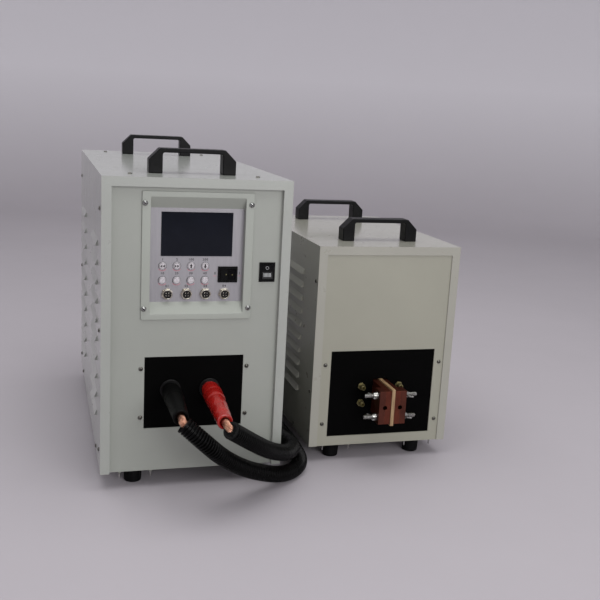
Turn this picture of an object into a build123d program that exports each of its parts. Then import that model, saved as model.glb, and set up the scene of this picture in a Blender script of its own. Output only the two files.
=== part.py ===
from build123d import *
import math
import os

os.makedirs("parts", exist_ok=True)

# Frame: X to the right, Y to the back, Z up, origin on the table under the middle of the two cabinets
# Small round pieces without a stated fit are drawn with flat sides

# Sides of the flat-sided round pieces
round_sides = 12
hose_sides = 10
pin_sides = 8
nut_sides = 6

# Cabinet sizes in millimetres
main_width = 300.0
main_height = 480.0
main_depth = 640.0
unit_width = 265.0
unit_height = 365.0
unit_depth = 420.0
cabinet_gap = 71.0
unit_setback = 65.0
foot_height = 30.0
foot_top_radius = 15.5
foot_bottom_radius = 14.2
main_foot_spread = 187.0
main_foot_inset = 44.0
unit_foot_spread = 160.0
unit_foot_inset = 34.0

# Sheet metal
sheet = 1.5
panel_sheet = 2.0
rim_width = 15.0
main_recess = 8.0
unit_recess = 2.0
tray_flange = 18.0

# Louvres pressed out of the side walls
louvre_length = 120.0
louvre_height = 10.0
louvre_depth = 4.5
louvre_inset = 145.0
main_louvre_rows = 10
main_louvre_pitch = 32.0
main_louvre_top = 360.0
unit_louvre_rows = 10
unit_louvre_pitch = 24.5
unit_louvre_top = 300.0

# Carrying handles
handle_length = 142.0
handle_height = 40.0
handle_depth = 27.0
handle_chamfer = 17.6
handle_leg = 22.0
handle_bar = 6.7
handle_edge = 1.4
main_handle_inset = 87.0
unit_handle_inset_front = 75.0
unit_handle_inset_rear = 56.0

# Control bezel, fascia and display, heights from the cabinet's underside
bezel_width = 177.0
bezel_height = 204.0
bezel_flange = 3.0
bezel_rise = 356.5
bezel_depth = 12.0
bezel_wall = 3.0
bezel_opening_width = 150.0
bezel_opening_height = 180.0
bezel_slope = 15.0
bezel_corner = 4.0
bezel_screw_radius = 4.5
bezel_screw_height = 3.2
bezel_screw_x = 84.0
bezel_screw_z = 83.5
fascia_sheet = 2.0
display_width = 114.0
display_height = 70.0
display_rise = 390.5
display_glass = 2.5
display_module = 7.0
display_margin = 4.0
fit_gap = 0.2

# Push buttons
button_radius = 6.0
button_clearance = 0.3
button_pitch = 22.7
button_columns = 4
button_row_x = -20.0
upper_button_rise = 339.5
lower_button_rise = 316.5
upper_button_proud = 1.8
lower_button_proud = 3.6
button_travel = 1.5
button_collar = 1.4
button_collar_thickness = 1.5
button_stem = 4.0

# Rocker switches
switch_long = 32.0
switch_short = 26.0
switch_flange = 2.0
switch_body_long = 28.0
switch_body_short = 21.6
switch_body_depth = 20.0
switch_cavity_depth = 9.0
paddle_half_length = 11.5
paddle_width = 17.2
paddle_end_rise = 4.0
paddle_middle_rise = 2.4
paddle_end_depth = 3.0
paddle_heel_depth = 3.5
paddle_clearance = 0.35
paddle_end_clearance = 1.2
paddle_tilt = 8.0
paddle_pin_radius = 1.5
paddle_pin_clearance = 0.05
paddle_pin_length = 1.4
selector_x = 51.0
selector_rise = 326.0
power_x = 114.0
power_rise = 331.5

# Signal sockets with a threaded shell
socket_thread_radius = 8.0
socket_nut_radius = 9.6
socket_nut_thickness = 2.0
socket_proud = 7.5
socket_rear = 11.0
socket_bore_radius = 6.4
socket_bore_depth = 9.0
socket_insert_depth = 6.0
socket_pitch = 30.7
socket_count = 4
socket_rise = 294.5

# Control board behind the fascia
board_sheet = 1.6
board_standoff = 13.5
board_width = 142.0
board_height = 124.0
board_rise = 368.0
board_post_radius = 3.5
board_cut_margin = 2.0
key_switch_size = 7.0

# Windows in the front panels with insulating plates behind them
main_window_width = 161.6
main_window_height = 120.7
main_window_rise = 132.7
unit_window_width = 198.6
unit_window_height = 159.5
unit_window_rise = 96.9
plate_thickness = 6.0
plate_margin = 14.0
plate_screw_gap_main = 5.8
plate_screw_z_main = 41.0
plate_screw_gap_unit = 10.2
plate_screw_z_unit = 55.0

# Panel and cover screws
screw_radius = 3.6
screw_height = 2.2
cover_screw_inset = 34.0
cover_screw_top_x = 103.0
cover_screw_top_inset = 52.0
cover_screw_bottom = 10.0
main_side_screw_heights = (31.0, 232.0, 427.0)
unit_side_screw_inset = 12.0
unit_side_screw_heights = (102.0, 302.0)
panel_screw_inset = 22.0

# Output sockets, plugs and the copper ropes in them
output_rise = 137.0
black_output_x = -38.0
red_output_x = 26.0
output_flange_radius = 17.0
output_flange = 3.0
output_body_radius = 13.0
output_body_depth = 34.0
plug_neck_radius = 13.0
plug_body_radius = 15.8
plug_end_radius = 12.4
plug_body_step = 1.0
plug_end_step = 0.6
rope_radius = 6.5
rope_clearance = 0.3
plug_wall_depth = 12.0
black_plug_length = 111.0
red_plug_length = 130.0
black_plug_droop = 7.5
red_plug_droop = 11.0

# Corrugated lead hoses
hose_radius = 14.0
hose_root_radius = 12.2
hose_bore_radius = 10.0
hose_bore_depth = 24.0
rib_pitch = 11.0
rib_crest = 5.5
rib_slope = 1.0
black_hose_ribs = 28
red_hose_ribs = 23
mouth_gap = 4.0
black_last_run = 52.0
red_last_run = 72.0
arc_step = 20.0
shortest_band = 8.0

# Copper work terminals
busbar_x = -2.5
busbar_rise = 90.0
busbar_thickness = 11.0
busbar_height = 60.0
busbar_front = 3.0
busbar_inside = 46.0
insulator_thickness = 6.0
insulator_overhang = 3.0
clamp_thickness = 11.0
clamp_depth = 24.0
clamp_travel = 3.0
coil_bore_radius = 4.0
stud_radius = 4.0
stud_clearance = 0.05
stud_hole_clearance = 0.5
stud_inset = 13.0
stud_pitch = 39.0
stud_reach = 30.0
stud_seat = 8.0
nut_gap = 0.2
nut_base_radius = 6.8
nut_top_radius = 5.6
nut_base_length = 2.0
nut_length = 8.0
wing_span = 32.0
wing_thickness = 2.6
wing_height = 11.0
wing_top = 13.0
wing_root = 1.0
wing_waist_reach = 13.4
wing_waist_height = 6.0
wing_top_reach = 12.2

# Brass coolant nozzles beside the terminals
nozzle_x = 36.0
nozzle_rises = (79.0, 110.0)
nozzle_radius = 5.0
nozzle_bore_radius = 2.8
nozzle_length = 14.0
nozzle_base_radius = 7.0
nozzle_base_thickness = 3.0

# Fittings on the rear panels
fitting_reach = 36.0
fitting_radius = 8.0
fitting_bore_radius = 5.5
fitting_nut_radius = 12.5
fitting_nut_thickness = 9.0
fitting_rise = 60.0
main_fitting_x = (-90.0, -40.0)
unit_fitting_x = (-92.0, -42.0)
unit_fitting_length = 40.0
mains_gland_x = 70.0
mains_gland_rise = 90.0
mains_gland_radius = 17.0
mains_gland_bore = 9.0
mains_gland_reach = 34.0
mains_gland_tail = 12.0
mains_gland_flange_radius = 20.0
mains_gland_flange = 5.0
mains_gland_tail_radius = 12.5
lead_gland_insets = (98.5, 36.5)
lead_gland_rise = 50.0
lead_gland_radius = 17.0
lead_gland_flange_radius = 19.5
lead_gland_flange = 5.0
lead_gland_reach = 24.0
earth_stud_radius = 4.0
earth_stud_length = 26.0
earth_nut_radius = 7.0
earth_nut_thickness = 7.0
earth_rise = 24.0
main_earth_x = 85.0
unit_earth_x = -67.0

# Inner parts
cold_plate_width = 220.0
cold_plate_height = 240.0
cold_plate_thickness = 14.0
cold_plate_y = 300.0
cold_plate_foot = 40.0
module_width = 62.0
module_height = 108.0
module_depth = 32.0
module_count = 3
module_pitch = 70.0
core_width = 120.0
core_height = 150.0
core_depth = 110.0
core_window_width = 54.0
core_window_height = 84.0
core_gap = 30.0
tank_radius = 30.0
tank_height = 140.0
tank_pitch = 70.0
tank_count = 3
tank_inset = 90.0

# Places worked out from the sizes
overall_width = main_width + cabinet_gap + unit_width
main_x = (main_width - overall_width) / 2
unit_x = (overall_width - unit_width) / 2
main_front = -(main_depth + fitting_reach) / 2
main_back = main_front + main_depth
unit_front = main_front + unit_setback
unit_back = unit_front + unit_depth
main_top = foot_height + main_height
unit_top = foot_height + unit_height
main_panel_face = main_front + main_recess
unit_panel_face = unit_front + unit_recess
main_rear_face = main_back - main_recess
unit_rear_face = unit_back - unit_recess
main_plate_face = main_panel_face + panel_sheet
unit_plate_face = unit_panel_face + panel_sheet
bezel_z = foot_height + bezel_rise
bezel_face = main_panel_face - bezel_flange
fascia_face = bezel_face + bezel_depth
fascia_back = fascia_face + fascia_sheet
fascia_height = bezel_opening_height - bezel_slope
board_face = fascia_back + board_standoff
busbar_centre = unit_x + busbar_x
busbar_z = foot_height + busbar_rise
busbar_face = main_front + busbar_front
seam = insulator_thickness / 2 + busbar_thickness
clamp_face = seam + clamp_thickness
stud_y = busbar_face + stud_inset
nut_seat = clamp_face + nut_gap
lead_gland_z = foot_height + lead_gland_rise
lead_gland_xs = [unit_x + unit_width / 2 - inset for inset in lead_gland_insets]
lead_gland_face = unit_rear_face + lead_gland_reach


def facing(y):
    # Plane across the cabinets at depth y, seen from the front: local x is X and local y is Z
    return Plane(origin=(0, y, 0), x_dir=(1, 0, 0), z_dir=(0, -1, 0))


def sideways(x):
    # Plane along the cabinets at width x: local x is Y, local y is Z, normal to +X
    return Plane(origin=(x, 0, 0), x_dir=(0, 1, 0), z_dir=(1, 0, 0))


def save(part, name):
    part.label = name
    export_step(part, "parts/" + name + ".step")


def u_band(x, width, height, outer_inset, inner_inset):
    # An upside-down U of sheet, open at the cabinet's underside
    with Locations((x, foot_height)):
        Rectangle(width - 2 * outer_inset, height - outer_inset, align=(Align.CENTER, Align.MIN))
        Rectangle(
            width - 2 * inner_inset,
            height - inner_inset,
            align=(Align.CENTER, Align.MIN),
            mode=Mode.SUBTRACT,
        )


# Wrap-round cabinet covers
def cabinet_cover(x, width, height, front, depth, recess, louvre_columns, rows, pitch, top_rise):
    row_heights = [foot_height + top_rise - i * pitch for i in range(rows)]
    walls = [(x + side * width / 2, side) for side in (-1, 1)]
    with BuildPart() as cover:
        with BuildSketch(facing(front)):
            u_band(x, width, height, 0, sheet)
        extrude(amount=-depth)
        for start in (front, front + depth - sheet):
            with BuildSketch(facing(start)):
                u_band(x, width, height, 0, rim_width)
            extrude(amount=-sheet)
        for start in (front, front + depth - recess):
            with BuildSketch(facing(start)):
                u_band(x, width, height, rim_width - sheet, rim_width)
            extrude(amount=-recess)
        for centre in louvre_columns:
            start = centre - louvre_length / 2
            with BuildSketch(facing(start + sheet)):
                for wall, side in walls:
                    for z in row_heights:
                        with Locations((wall - side * sheet / 2, z)):
                            Rectangle(
                                2 * sheet,
                                louvre_height - 2 * sheet,
                                align=(Align.CENTER, Align.MIN),
                            )
            extrude(amount=-(louvre_length - 2 * sheet), mode=Mode.SUBTRACT)
            with BuildSketch(facing(start)):
                for wall, side in walls:
                    for z in row_heights:
                        Polygon(
                            (wall, z + louvre_height),
                            (wall + side * louvre_depth, z),
                            (wall + side * (louvre_depth - sheet), z),
                            (wall, z + louvre_height - 2 * sheet),
                            align=None,
                        )
            extrude(amount=-louvre_length)
            for cheek in (start, start + louvre_length - sheet):
                with BuildSketch(facing(cheek)):
                    for wall, side in walls:
                        for z in row_heights:
                            Polygon(
                                (wall, z + louvre_height),
                                (wall + side * louvre_depth, z),
                                (wall, z),
                                align=None,
                            )
                extrude(amount=-sheet)
    return cover.part


main_columns = (main_front + louvre_inset, main_back - louvre_inset)
save(
    cabinet_cover(
        main_x,
        main_width,
        main_height,
        main_front,
        main_depth,
        main_recess,
        main_columns,
        main_louvre_rows,
        main_louvre_pitch,
        main_louvre_top,
    ),
    "main_cover",
)
save(
    cabinet_cover(
        unit_x,
        unit_width,
        unit_height,
        unit_front,
        unit_depth,
        unit_recess,
        (unit_front + louvre_inset,),
        unit_louvre_rows,
        unit_louvre_pitch,
        unit_louvre_top,
    ),
    "transformer_cover",
)


# Base trays with upturned side flanges
def base_tray(x, width, front, back):
    inner_width = width - 2 * sheet
    with BuildPart() as tray:
        with BuildSketch(facing(front)):
            with Locations((x, foot_height)):
                Rectangle(inner_width, tray_flange, align=(Align.CENTER, Align.MIN))
            with Locations((x, foot_height + sheet)):
                Rectangle(
                    inner_width - 2 * sheet,
                    tray_flange,
                    align=(Align.CENTER, Align.MIN),
                    mode=Mode.SUBTRACT,
                )
        extrude(amount=-(back - front))
    return tray.part


save(
    base_tray(main_x, main_width, main_panel_face + panel_sheet, main_rear_face - panel_sheet),
    "main_tray",
)
save(
    base_tray(unit_x, unit_width, unit_panel_face + panel_sheet, unit_rear_face - panel_sheet),
    "transformer_tray",
)


# Flat sheet that closes one end of a cabinet, between the cover's walls
def end_sheet(x, width, height):
    with Locations((x, foot_height)):
        Rectangle(width - 2 * sheet, height - sheet, align=(Align.CENTER, Align.MIN))


bezel_body_width = bezel_opening_width + 2 * bezel_wall
bezel_body_height = bezel_opening_height + 2 * bezel_wall
main_window_z = foot_height + main_window_rise
unit_window_z = foot_height + unit_window_rise
power_z = foot_height + power_rise

with BuildPart() as main_front_panel:
    with BuildSketch(facing(main_panel_face)):
        end_sheet(main_x, main_width, main_height)
        with Locations((main_x, bezel_z)):
            Rectangle(
                bezel_body_width + 2 * fit_gap,
                bezel_body_height + 2 * fit_gap,
                mode=Mode.SUBTRACT,
            )
        with Locations((main_x + power_x, power_z)):
            Rectangle(
                switch_body_short + 2 * fit_gap,
                switch_body_long + 2 * fit_gap,
                mode=Mode.SUBTRACT,
            )
        with Locations((main_x, main_window_z)):
            Rectangle(main_window_width, main_window_height, mode=Mode.SUBTRACT)
    extrude(amount=-panel_sheet)
save(main_front_panel.part, "main_front_panel")

with BuildPart() as transformer_front_panel:
    with BuildSketch(facing(unit_panel_face)):
        end_sheet(unit_x, unit_width, unit_height)
        with Locations((unit_x, unit_window_z)):
            Rectangle(unit_window_width, unit_window_height, mode=Mode.SUBTRACT)
    extrude(amount=-panel_sheet)
save(transformer_front_panel.part, "transformer_front_panel")

fitting_z = foot_height + fitting_rise
mains_gland_z = foot_height + mains_gland_rise
earth_z = foot_height + earth_rise

with BuildPart() as main_rear_panel:
    with BuildSketch(facing(main_rear_face)):
        end_sheet(main_x, main_width, main_height)
        with Locations((main_x + mains_gland_x, mains_gland_z)):
            RegularPolygon(mains_gland_tail_radius + fit_gap, round_sides, mode=Mode.SUBTRACT)
    extrude(amount=panel_sheet)
save(main_rear_panel.part, "main_rear_panel")

with BuildPart() as transformer_rear_panel:
    with BuildSketch(facing(unit_rear_face)):
        end_sheet(unit_x, unit_width, unit_height)
    extrude(amount=panel_sheet)
save(transformer_rear_panel.part, "transformer_rear_panel")


# Bridge handles moulded in one piece
def bridge_handle(x, y, top):
    half = handle_length / 2
    with BuildPart() as handle:
        with BuildSketch(facing(y - handle_depth / 2)):
            Polygon(
                (x - half, top),
                (x - half, top + handle_height - handle_chamfer),
                (x - half + handle_chamfer, top + handle_height),
                (x + half - handle_chamfer, top + handle_height),
                (x + half, top + handle_height - handle_chamfer),
                (x + half, top),
                align=None,
            )
            with Locations((x, top)):
                Rectangle(
                    handle_length - 2 * handle_leg,
                    handle_height - handle_bar,
                    align=(Align.CENTER, Align.MIN),
                    mode=Mode.SUBTRACT,
                )
        extrude(amount=-handle_depth)
        top_edges = handle.edges().filter_by(Axis.X).group_by(Axis.Z)[-1]
        chamfer(top_edges, length=handle_edge)
    return handle.part


handle_places = {
    "main_front_handle": (main_x, main_front + main_handle_inset, main_top),
    "main_rear_handle": (main_x, main_back - main_handle_inset, main_top),
    "transformer_front_handle": (unit_x, unit_front + unit_handle_inset_front, unit_top),
    "transformer_rear_handle": (unit_x, unit_back - unit_handle_inset_rear, unit_top),
}
for name, place in handle_places.items():
    save(bridge_handle(*place), name)

# Rubber feet under both cabinets
foot_places = []
for x, spread, inset, front, back in (
    (main_x, main_foot_spread, main_foot_inset, main_front, main_back),
    (unit_x, unit_foot_spread, unit_foot_inset, unit_front, unit_back),
):
    for side in (-1, 1):
        for y in (front + inset, back - inset):
            foot_places.append((x + side * spread / 2, y))

foot_taper = math.degrees(math.atan2(foot_top_radius - foot_bottom_radius, foot_height))
with BuildPart() as rubber_feet:
    with BuildSketch():
        with Locations(foot_places):
            RegularPolygon(foot_bottom_radius, round_sides)
    extrude(amount=foot_height, taper=-foot_taper)
save(rubber_feet.part, "rubber_feet")

# Control bezel: a flange on the panel and a tray with a sloping top and bottom
with BuildPart() as control_bezel:
    with BuildSketch(facing(bezel_face)):
        with Locations((main_x, bezel_z)):
            Rectangle(bezel_width, bezel_height)
    extrude(amount=-bezel_flange)
    with BuildSketch(facing(bezel_face)):
        with Locations((main_x, bezel_z)):
            Rectangle(bezel_body_width, bezel_body_height)
    extrude(amount=-bezel_depth)
    with BuildSketch(sideways(main_x)):
        half_mouth = bezel_opening_height / 2
        half_floor = fascia_height / 2
        Polygon(
            (bezel_face, bezel_z - half_mouth),
            (bezel_face, bezel_z + half_mouth),
            (fascia_face, bezel_z + half_floor),
            (fascia_face, bezel_z - half_floor),
            align=None,
        )
    extrude(amount=bezel_opening_width / 2, both=True, mode=Mode.SUBTRACT)
    lower_corners = control_bezel.edges().filter_by(Axis.Y).group_by(Axis.Z)[0]
    fillet(lower_corners, radius=bezel_corner)
save(control_bezel.part, "control_bezel")

with BuildPart() as bezel_screws:
    with BuildSketch(facing(bezel_face)):
        with Locations((main_x, bezel_z)):
            with GridLocations(2 * bezel_screw_x, 2 * bezel_screw_z, 2, 2):
                RegularPolygon(bezel_screw_radius, pin_sides)
    extrude(amount=bezel_screw_height)
    chamfer(
        bezel_screws.faces().filter_by(Axis.Y).group_by(Axis.Y)[0].edges(),
        length=bezel_screw_height / 2,
    )
save(bezel_screws.part, "bezel_screws")

# Fascia plate with the openings for the display, the buttons, the selector and the sockets
display_z = foot_height + display_rise
selector_z = foot_height + selector_rise
socket_z = foot_height + socket_rise
button_heights = (foot_height + upper_button_rise, foot_height + lower_button_rise)
button_xs = [
    main_x + button_row_x + (i - (button_columns - 1) / 2) * button_pitch
    for i in range(button_columns)
]
socket_xs = [main_x + (i - (socket_count - 1) / 2) * socket_pitch for i in range(socket_count)]

with BuildPart() as fascia_plate:
    with BuildSketch(facing(fascia_face)):
        with Locations((main_x, bezel_z)):
            Rectangle(bezel_body_width, fascia_height + 2 * bezel_wall)
        with Locations((main_x, display_z)):
            Rectangle(
                display_width + 2 * fit_gap,
                display_height + 2 * fit_gap,
                mode=Mode.SUBTRACT,
            )
        with Locations([(x, z) for x in button_xs for z in button_heights]):
            RegularPolygon(button_radius + button_clearance, round_sides, mode=Mode.SUBTRACT)
        with Locations((main_x + selector_x, selector_z)):
            Rectangle(
                switch_body_long + 2 * fit_gap,
                switch_body_short + 2 * fit_gap,
                mode=Mode.SUBTRACT,
            )
        with Locations([(x, socket_z) for x in socket_xs]):
            RegularPolygon(
                socket_thread_radius + fit_gap, pin_sides, major_radius=False, mode=Mode.SUBTRACT
            )
    extrude(amount=-fascia_sheet)
save(fascia_plate.part, "fascia_plate")

with BuildPart() as display_panel:
    with BuildSketch(facing(fascia_back - display_glass)):
        with Locations((main_x, display_z)):
            Rectangle(display_width, display_height)
    extrude(amount=-display_glass)
    with BuildSketch(facing(fascia_back)):
        with Locations((main_x, display_z)):
            Rectangle(display_width + 2 * display_margin, display_height + 2 * display_margin)
    extrude(amount=-display_module)
save(display_panel.part, "display_panel")


# Push buttons: a round cap through the fascia with a retaining collar and a stem behind it
def push_button(x, z, proud):
    with BuildPart() as button:
        with BuildSketch(facing(fascia_face - proud)):
            with Locations((x, z)):
                RegularPolygon(button_radius, round_sides)
        extrude(amount=-(proud + fascia_sheet + button_clearance))
        with BuildSketch(facing(fascia_back + button_clearance)):
            with Locations((x, z)):
                RegularPolygon(button_radius + button_collar, pin_sides)
        extrude(amount=-button_collar_thickness)
        with BuildSketch(facing(fascia_back + button_clearance + button_collar_thickness)):
            with Locations((x, z)):
                Rectangle(button_stem, button_stem)
        extrude(amount=-button_stem)
    return button.part


for row, z, proud in (
    ("upper", button_heights[0], upper_button_proud),
    ("lower", button_heights[1], lower_button_proud),
):
    for number, x in enumerate(button_xs, start=1):
        save(push_button(x, z, proud), row + "_button_" + str(number))


# Rocker switches: a housing with a flange, and a paddle that tips on two pins
def switch_plane(x, y, z, upright):
    long_way = (0, 0, 1) if upright else (1, 0, 0)
    return Plane(origin=(x, y, z), x_dir=long_way, z_dir=(0, -1, 0))


def switch_housing(plane):
    cavity_long = 2 * (paddle_half_length + paddle_end_clearance)
    cavity_short = paddle_width + 2 * paddle_clearance
    with BuildPart(plane) as housing:
        Box(switch_long, switch_short, switch_flange, align=(Align.CENTER, Align.CENTER, Align.MIN))
        Box(
            switch_body_long,
            switch_body_short,
            switch_body_depth,
            align=(Align.CENTER, Align.CENTER, Align.MAX),
        )
        with Locations((0, 0, switch_flange)):
            Box(
                cavity_long,
                cavity_short,
                switch_cavity_depth,
                align=(Align.CENTER, Align.CENTER, Align.MAX),
                mode=Mode.SUBTRACT,
            )
        with BuildSketch(Plane(origin=plane.origin, x_dir=plane.x_dir, z_dir=-plane.y_dir)):
            RegularPolygon(
                paddle_pin_radius + paddle_pin_clearance, pin_sides, major_radius=False
            )
        extrude(amount=cavity_short / 2 + paddle_pin_length, both=True, mode=Mode.SUBTRACT)
    return housing.part


def switch_paddle(plane, tilt):
    tip = paddle_half_length
    section = Plane(origin=plane.origin, x_dir=plane.x_dir, z_dir=-plane.y_dir)
    with BuildPart() as paddle:
        with BuildSketch(section):
            Polygon(
                (-tip, paddle_end_rise),
                (0, paddle_middle_rise),
                (tip, paddle_end_rise),
                (tip, paddle_end_rise - paddle_end_depth),
                (tip / 3, -paddle_heel_depth),
                (-tip / 3, -paddle_heel_depth),
                (-tip, paddle_end_rise - paddle_end_depth),
                rotation=tilt,
                align=None,
            )
        extrude(amount=paddle_width / 2, both=True)
        with BuildSketch(section):
            RegularPolygon(paddle_pin_radius, pin_sides)
        extrude(amount=paddle_width / 2 + paddle_pin_length, both=True)
    return paddle.part


selector_plane = switch_plane(main_x + selector_x, fascia_face, selector_z, False)
power_plane = switch_plane(main_x + power_x, main_panel_face, power_z, True)
switch_frames = Part() + [switch_housing(selector_plane), switch_housing(power_plane)]
save(switch_frames, "switch_frames")
save(switch_paddle(selector_plane, paddle_tilt), "selector_rocker")
save(switch_paddle(power_plane, -paddle_tilt), "power_rocker")

# Signal sockets: threaded shells with their nuts, and the insulating pin inserts
with BuildPart() as signal_sockets:
    for x in socket_xs:
        with BuildSketch(facing(fascia_face - socket_proud)):
            with Locations((x, socket_z)):
                RegularPolygon(socket_thread_radius, round_sides)
        extrude(amount=-(socket_proud + fascia_sheet + socket_rear))
        with BuildSketch(facing(fascia_face - socket_nut_thickness)):
            with Locations((x, socket_z)):
                RegularPolygon(socket_nut_radius, nut_sides)
        extrude(amount=-socket_nut_thickness)
        with BuildSketch(facing(fascia_face - socket_proud)):
            with Locations((x, socket_z)):
                RegularPolygon(socket_bore_radius, round_sides)
        extrude(amount=-socket_bore_depth, mode=Mode.SUBTRACT)
save(signal_sockets.part, "signal_sockets")

insert_back = fascia_face - socket_proud + socket_bore_depth
with BuildPart() as signal_socket_inserts:
    with BuildSketch(facing(insert_back)):
        with Locations([(x, socket_z) for x in socket_xs]):
            RegularPolygon(socket_bore_radius - stud_clearance, round_sides)
    extrude(amount=socket_insert_depth)
save(signal_socket_inserts.part, "signal_socket_inserts")

# Control board on four posts, with a key switch behind each button
board_z = foot_height + board_rise
key_depth = board_standoff - button_clearance - button_collar_thickness - button_stem
key_depth = key_depth - button_travel - button_clearance
with BuildPart() as control_board:
    with BuildSketch(facing(board_face)):
        with Locations((main_x, board_z)):
            Rectangle(board_width, board_height)
        with Locations((main_x + selector_x, selector_z)):
            Rectangle(
                switch_body_long + 2 * board_cut_margin,
                switch_body_short + 2 * board_cut_margin,
                mode=Mode.SUBTRACT,
            )
    extrude(amount=-board_sheet)
    with BuildSketch(facing(board_face)):
        with Locations([(x, z) for x in button_xs for z in button_heights]):
            Rectangle(key_switch_size, key_switch_size)
    extrude(amount=key_depth)
    with BuildSketch(facing(board_face)):
        with Locations((main_x, board_z)):
            with GridLocations(
                board_width - 2 * board_post_radius, board_height - 2 * board_post_radius, 2, 2
            ):
                RegularPolygon(board_post_radius, nut_sides)
    extrude(amount=board_standoff)
save(control_board.part, "control_board")

# Insulating plates behind the windows
with BuildPart() as main_insulating_plate:
    with BuildSketch(facing(main_plate_face)):
        with Locations((main_x, main_window_z)):
            Rectangle(main_window_width + 2 * plate_margin, main_window_height + 2 * plate_margin)
        with Locations(
            [(main_x + x, foot_height + output_rise) for x in (black_output_x, red_output_x)]
        ):
            RegularPolygon(output_body_radius + fit_gap, round_sides, mode=Mode.SUBTRACT)
    extrude(amount=-plate_thickness)
save(main_insulating_plate.part, "main_insulating_plate")

busbar_slot_width = insulator_thickness + 2 * busbar_thickness + 2 * fit_gap
busbar_slot_height = busbar_height + 2 * insulator_overhang + 2 * fit_gap
nozzle_places = [
    (busbar_centre + side * nozzle_x, foot_height + rise)
    for side in (-1, 1)
    for rise in nozzle_rises
]
with BuildPart() as transformer_insulating_plate:
    with BuildSketch(facing(unit_plate_face)):
        with Locations((unit_x, unit_window_z)):
            Rectangle(unit_window_width + 2 * plate_margin, unit_window_height + 2 * plate_margin)
        with Locations((busbar_centre, busbar_z)):
            Rectangle(busbar_slot_width, busbar_slot_height, mode=Mode.SUBTRACT)
    extrude(amount=-plate_thickness)
save(transformer_insulating_plate.part, "transformer_insulating_plate")

# Small screws with low round heads, drawn with few sides
plate_screw_places = []
for x, z, half_width, gap, rise, face in (
    (main_x, main_window_z, main_window_width / 2, plate_screw_gap_main, plate_screw_z_main,
     main_panel_face),
    (unit_x, unit_window_z, unit_window_width / 2, plate_screw_gap_unit, plate_screw_z_unit,
     unit_panel_face),
):
    for side in (-1, 1):
        for up in (-1, 1):
            plate_screw_places.append((x + side * (half_width + gap), z + up * rise, face))

rear_screw_places = []
for x, width, height, face in (
    (main_x, main_width, main_height, main_rear_face),
    (unit_x, unit_width, unit_height, unit_rear_face),
):
    for side in (-1, 1):
        for z in (foot_height + panel_screw_inset, foot_height + height - 2 * panel_screw_inset):
            rear_screw_places.append((x + side * (width / 2 - panel_screw_inset), z, face))

with BuildPart() as panel_screws:
    for x, z, face in plate_screw_places:
        with BuildSketch(facing(face)):
            with Locations((x, z)):
                RegularPolygon(screw_radius, nut_sides)
        extrude(amount=screw_height)
    for x, z, face in rear_screw_places:
        with BuildSketch(facing(face)):
            with Locations((x, z)):
                RegularPolygon(screw_radius, nut_sides)
        extrude(amount=-screw_height)
save(panel_screws.part, "panel_screws")

side_screw_places = []
for x, width, front, back, inset, rises, feet_ys in (
    (main_x, main_width, main_front, main_back, cover_screw_inset, main_side_screw_heights,
     (main_front + 3 * cover_screw_inset, main_back - 3 * cover_screw_inset)),
    (unit_x, unit_width, unit_front, unit_back, unit_side_screw_inset, unit_side_screw_heights,
     (unit_front + 3 * cover_screw_inset, unit_back - 3 * cover_screw_inset)),
):
    for side in (-1, 1):
        wall = x + side * width / 2
        places = [(y, foot_height + rise) for y in (front + inset, back - inset) for rise in rises]
        places += [(y, foot_height + cover_screw_bottom) for y in feet_ys]
        side_screw_places.append((wall, side, places))

top_screw_places = [
    (main_x + side * cover_screw_top_x, y)
    for side in (-1, 1)
    for y in (main_front + cover_screw_top_inset, main_back - cover_screw_top_inset)
]

with BuildPart() as cover_screws:
    for wall, side, places in side_screw_places:
        with BuildSketch(sideways(wall)):
            with Locations(places):
                RegularPolygon(screw_radius, nut_sides)
        extrude(amount=side * screw_height)
    with BuildSketch(Plane.XY.offset(main_top)):
        with Locations(top_screw_places):
            RegularPolygon(screw_radius, nut_sides)
    extrude(amount=screw_height)
save(cover_screws.part, "cover_screws")

# Output sockets in the main cabinet's insulating plate
output_z = foot_height + output_rise
output_face = main_plate_face - output_flange
with BuildPart() as output_sockets:
    for x in (main_x + black_output_x, main_x + red_output_x):
        with BuildSketch(facing(output_face)):
            with Locations((x, output_z)):
                RegularPolygon(output_flange_radius, round_sides)
        extrude(amount=-output_flange)
        with BuildSketch(facing(main_plate_face)):
            with Locations((x, output_z)):
                RegularPolygon(output_body_radius, round_sides)
        extrude(amount=-output_body_depth)
save(output_sockets.part, "output_sockets")

# Rubber plug boots, each section as share of the length, radius and share of the droop
boot_sections = (
    (0.00, plug_neck_radius, 0.00),
    (0.08, plug_neck_radius, 0.00),
    (0.14, plug_body_radius, 0.03),
    (0.42, plug_body_radius, 0.23),
    (0.45, plug_body_radius - plug_body_step, 0.26),
    (0.85, plug_end_radius + plug_end_step, 0.76),
    (0.88, plug_end_radius, 0.82),
    (1.00, plug_end_radius, 1.00),
)


def plug_boot(x, length, droop):
    with BuildPart() as boot:
        for length_share, radius, droop_share in boot_sections:
            with BuildSketch(facing(output_face - length_share * length)):
                with Locations((x, output_z - droop_share * droop)):
                    RegularPolygon(radius, round_sides)
        loft(ruled=True)
        with BuildSketch(facing(output_face - length)):
            with Locations((x, output_z - droop)):
                RegularPolygon(rope_radius + rope_clearance, round_sides, major_radius=False)
        extrude(amount=-plug_wall_depth, mode=Mode.SUBTRACT)
    return boot.part


save(plug_boot(main_x + black_output_x, black_plug_length, black_plug_droop), "black_plug")
save(plug_boot(main_x + red_output_x, red_plug_length, red_plug_droop), "red_plug")

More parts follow.
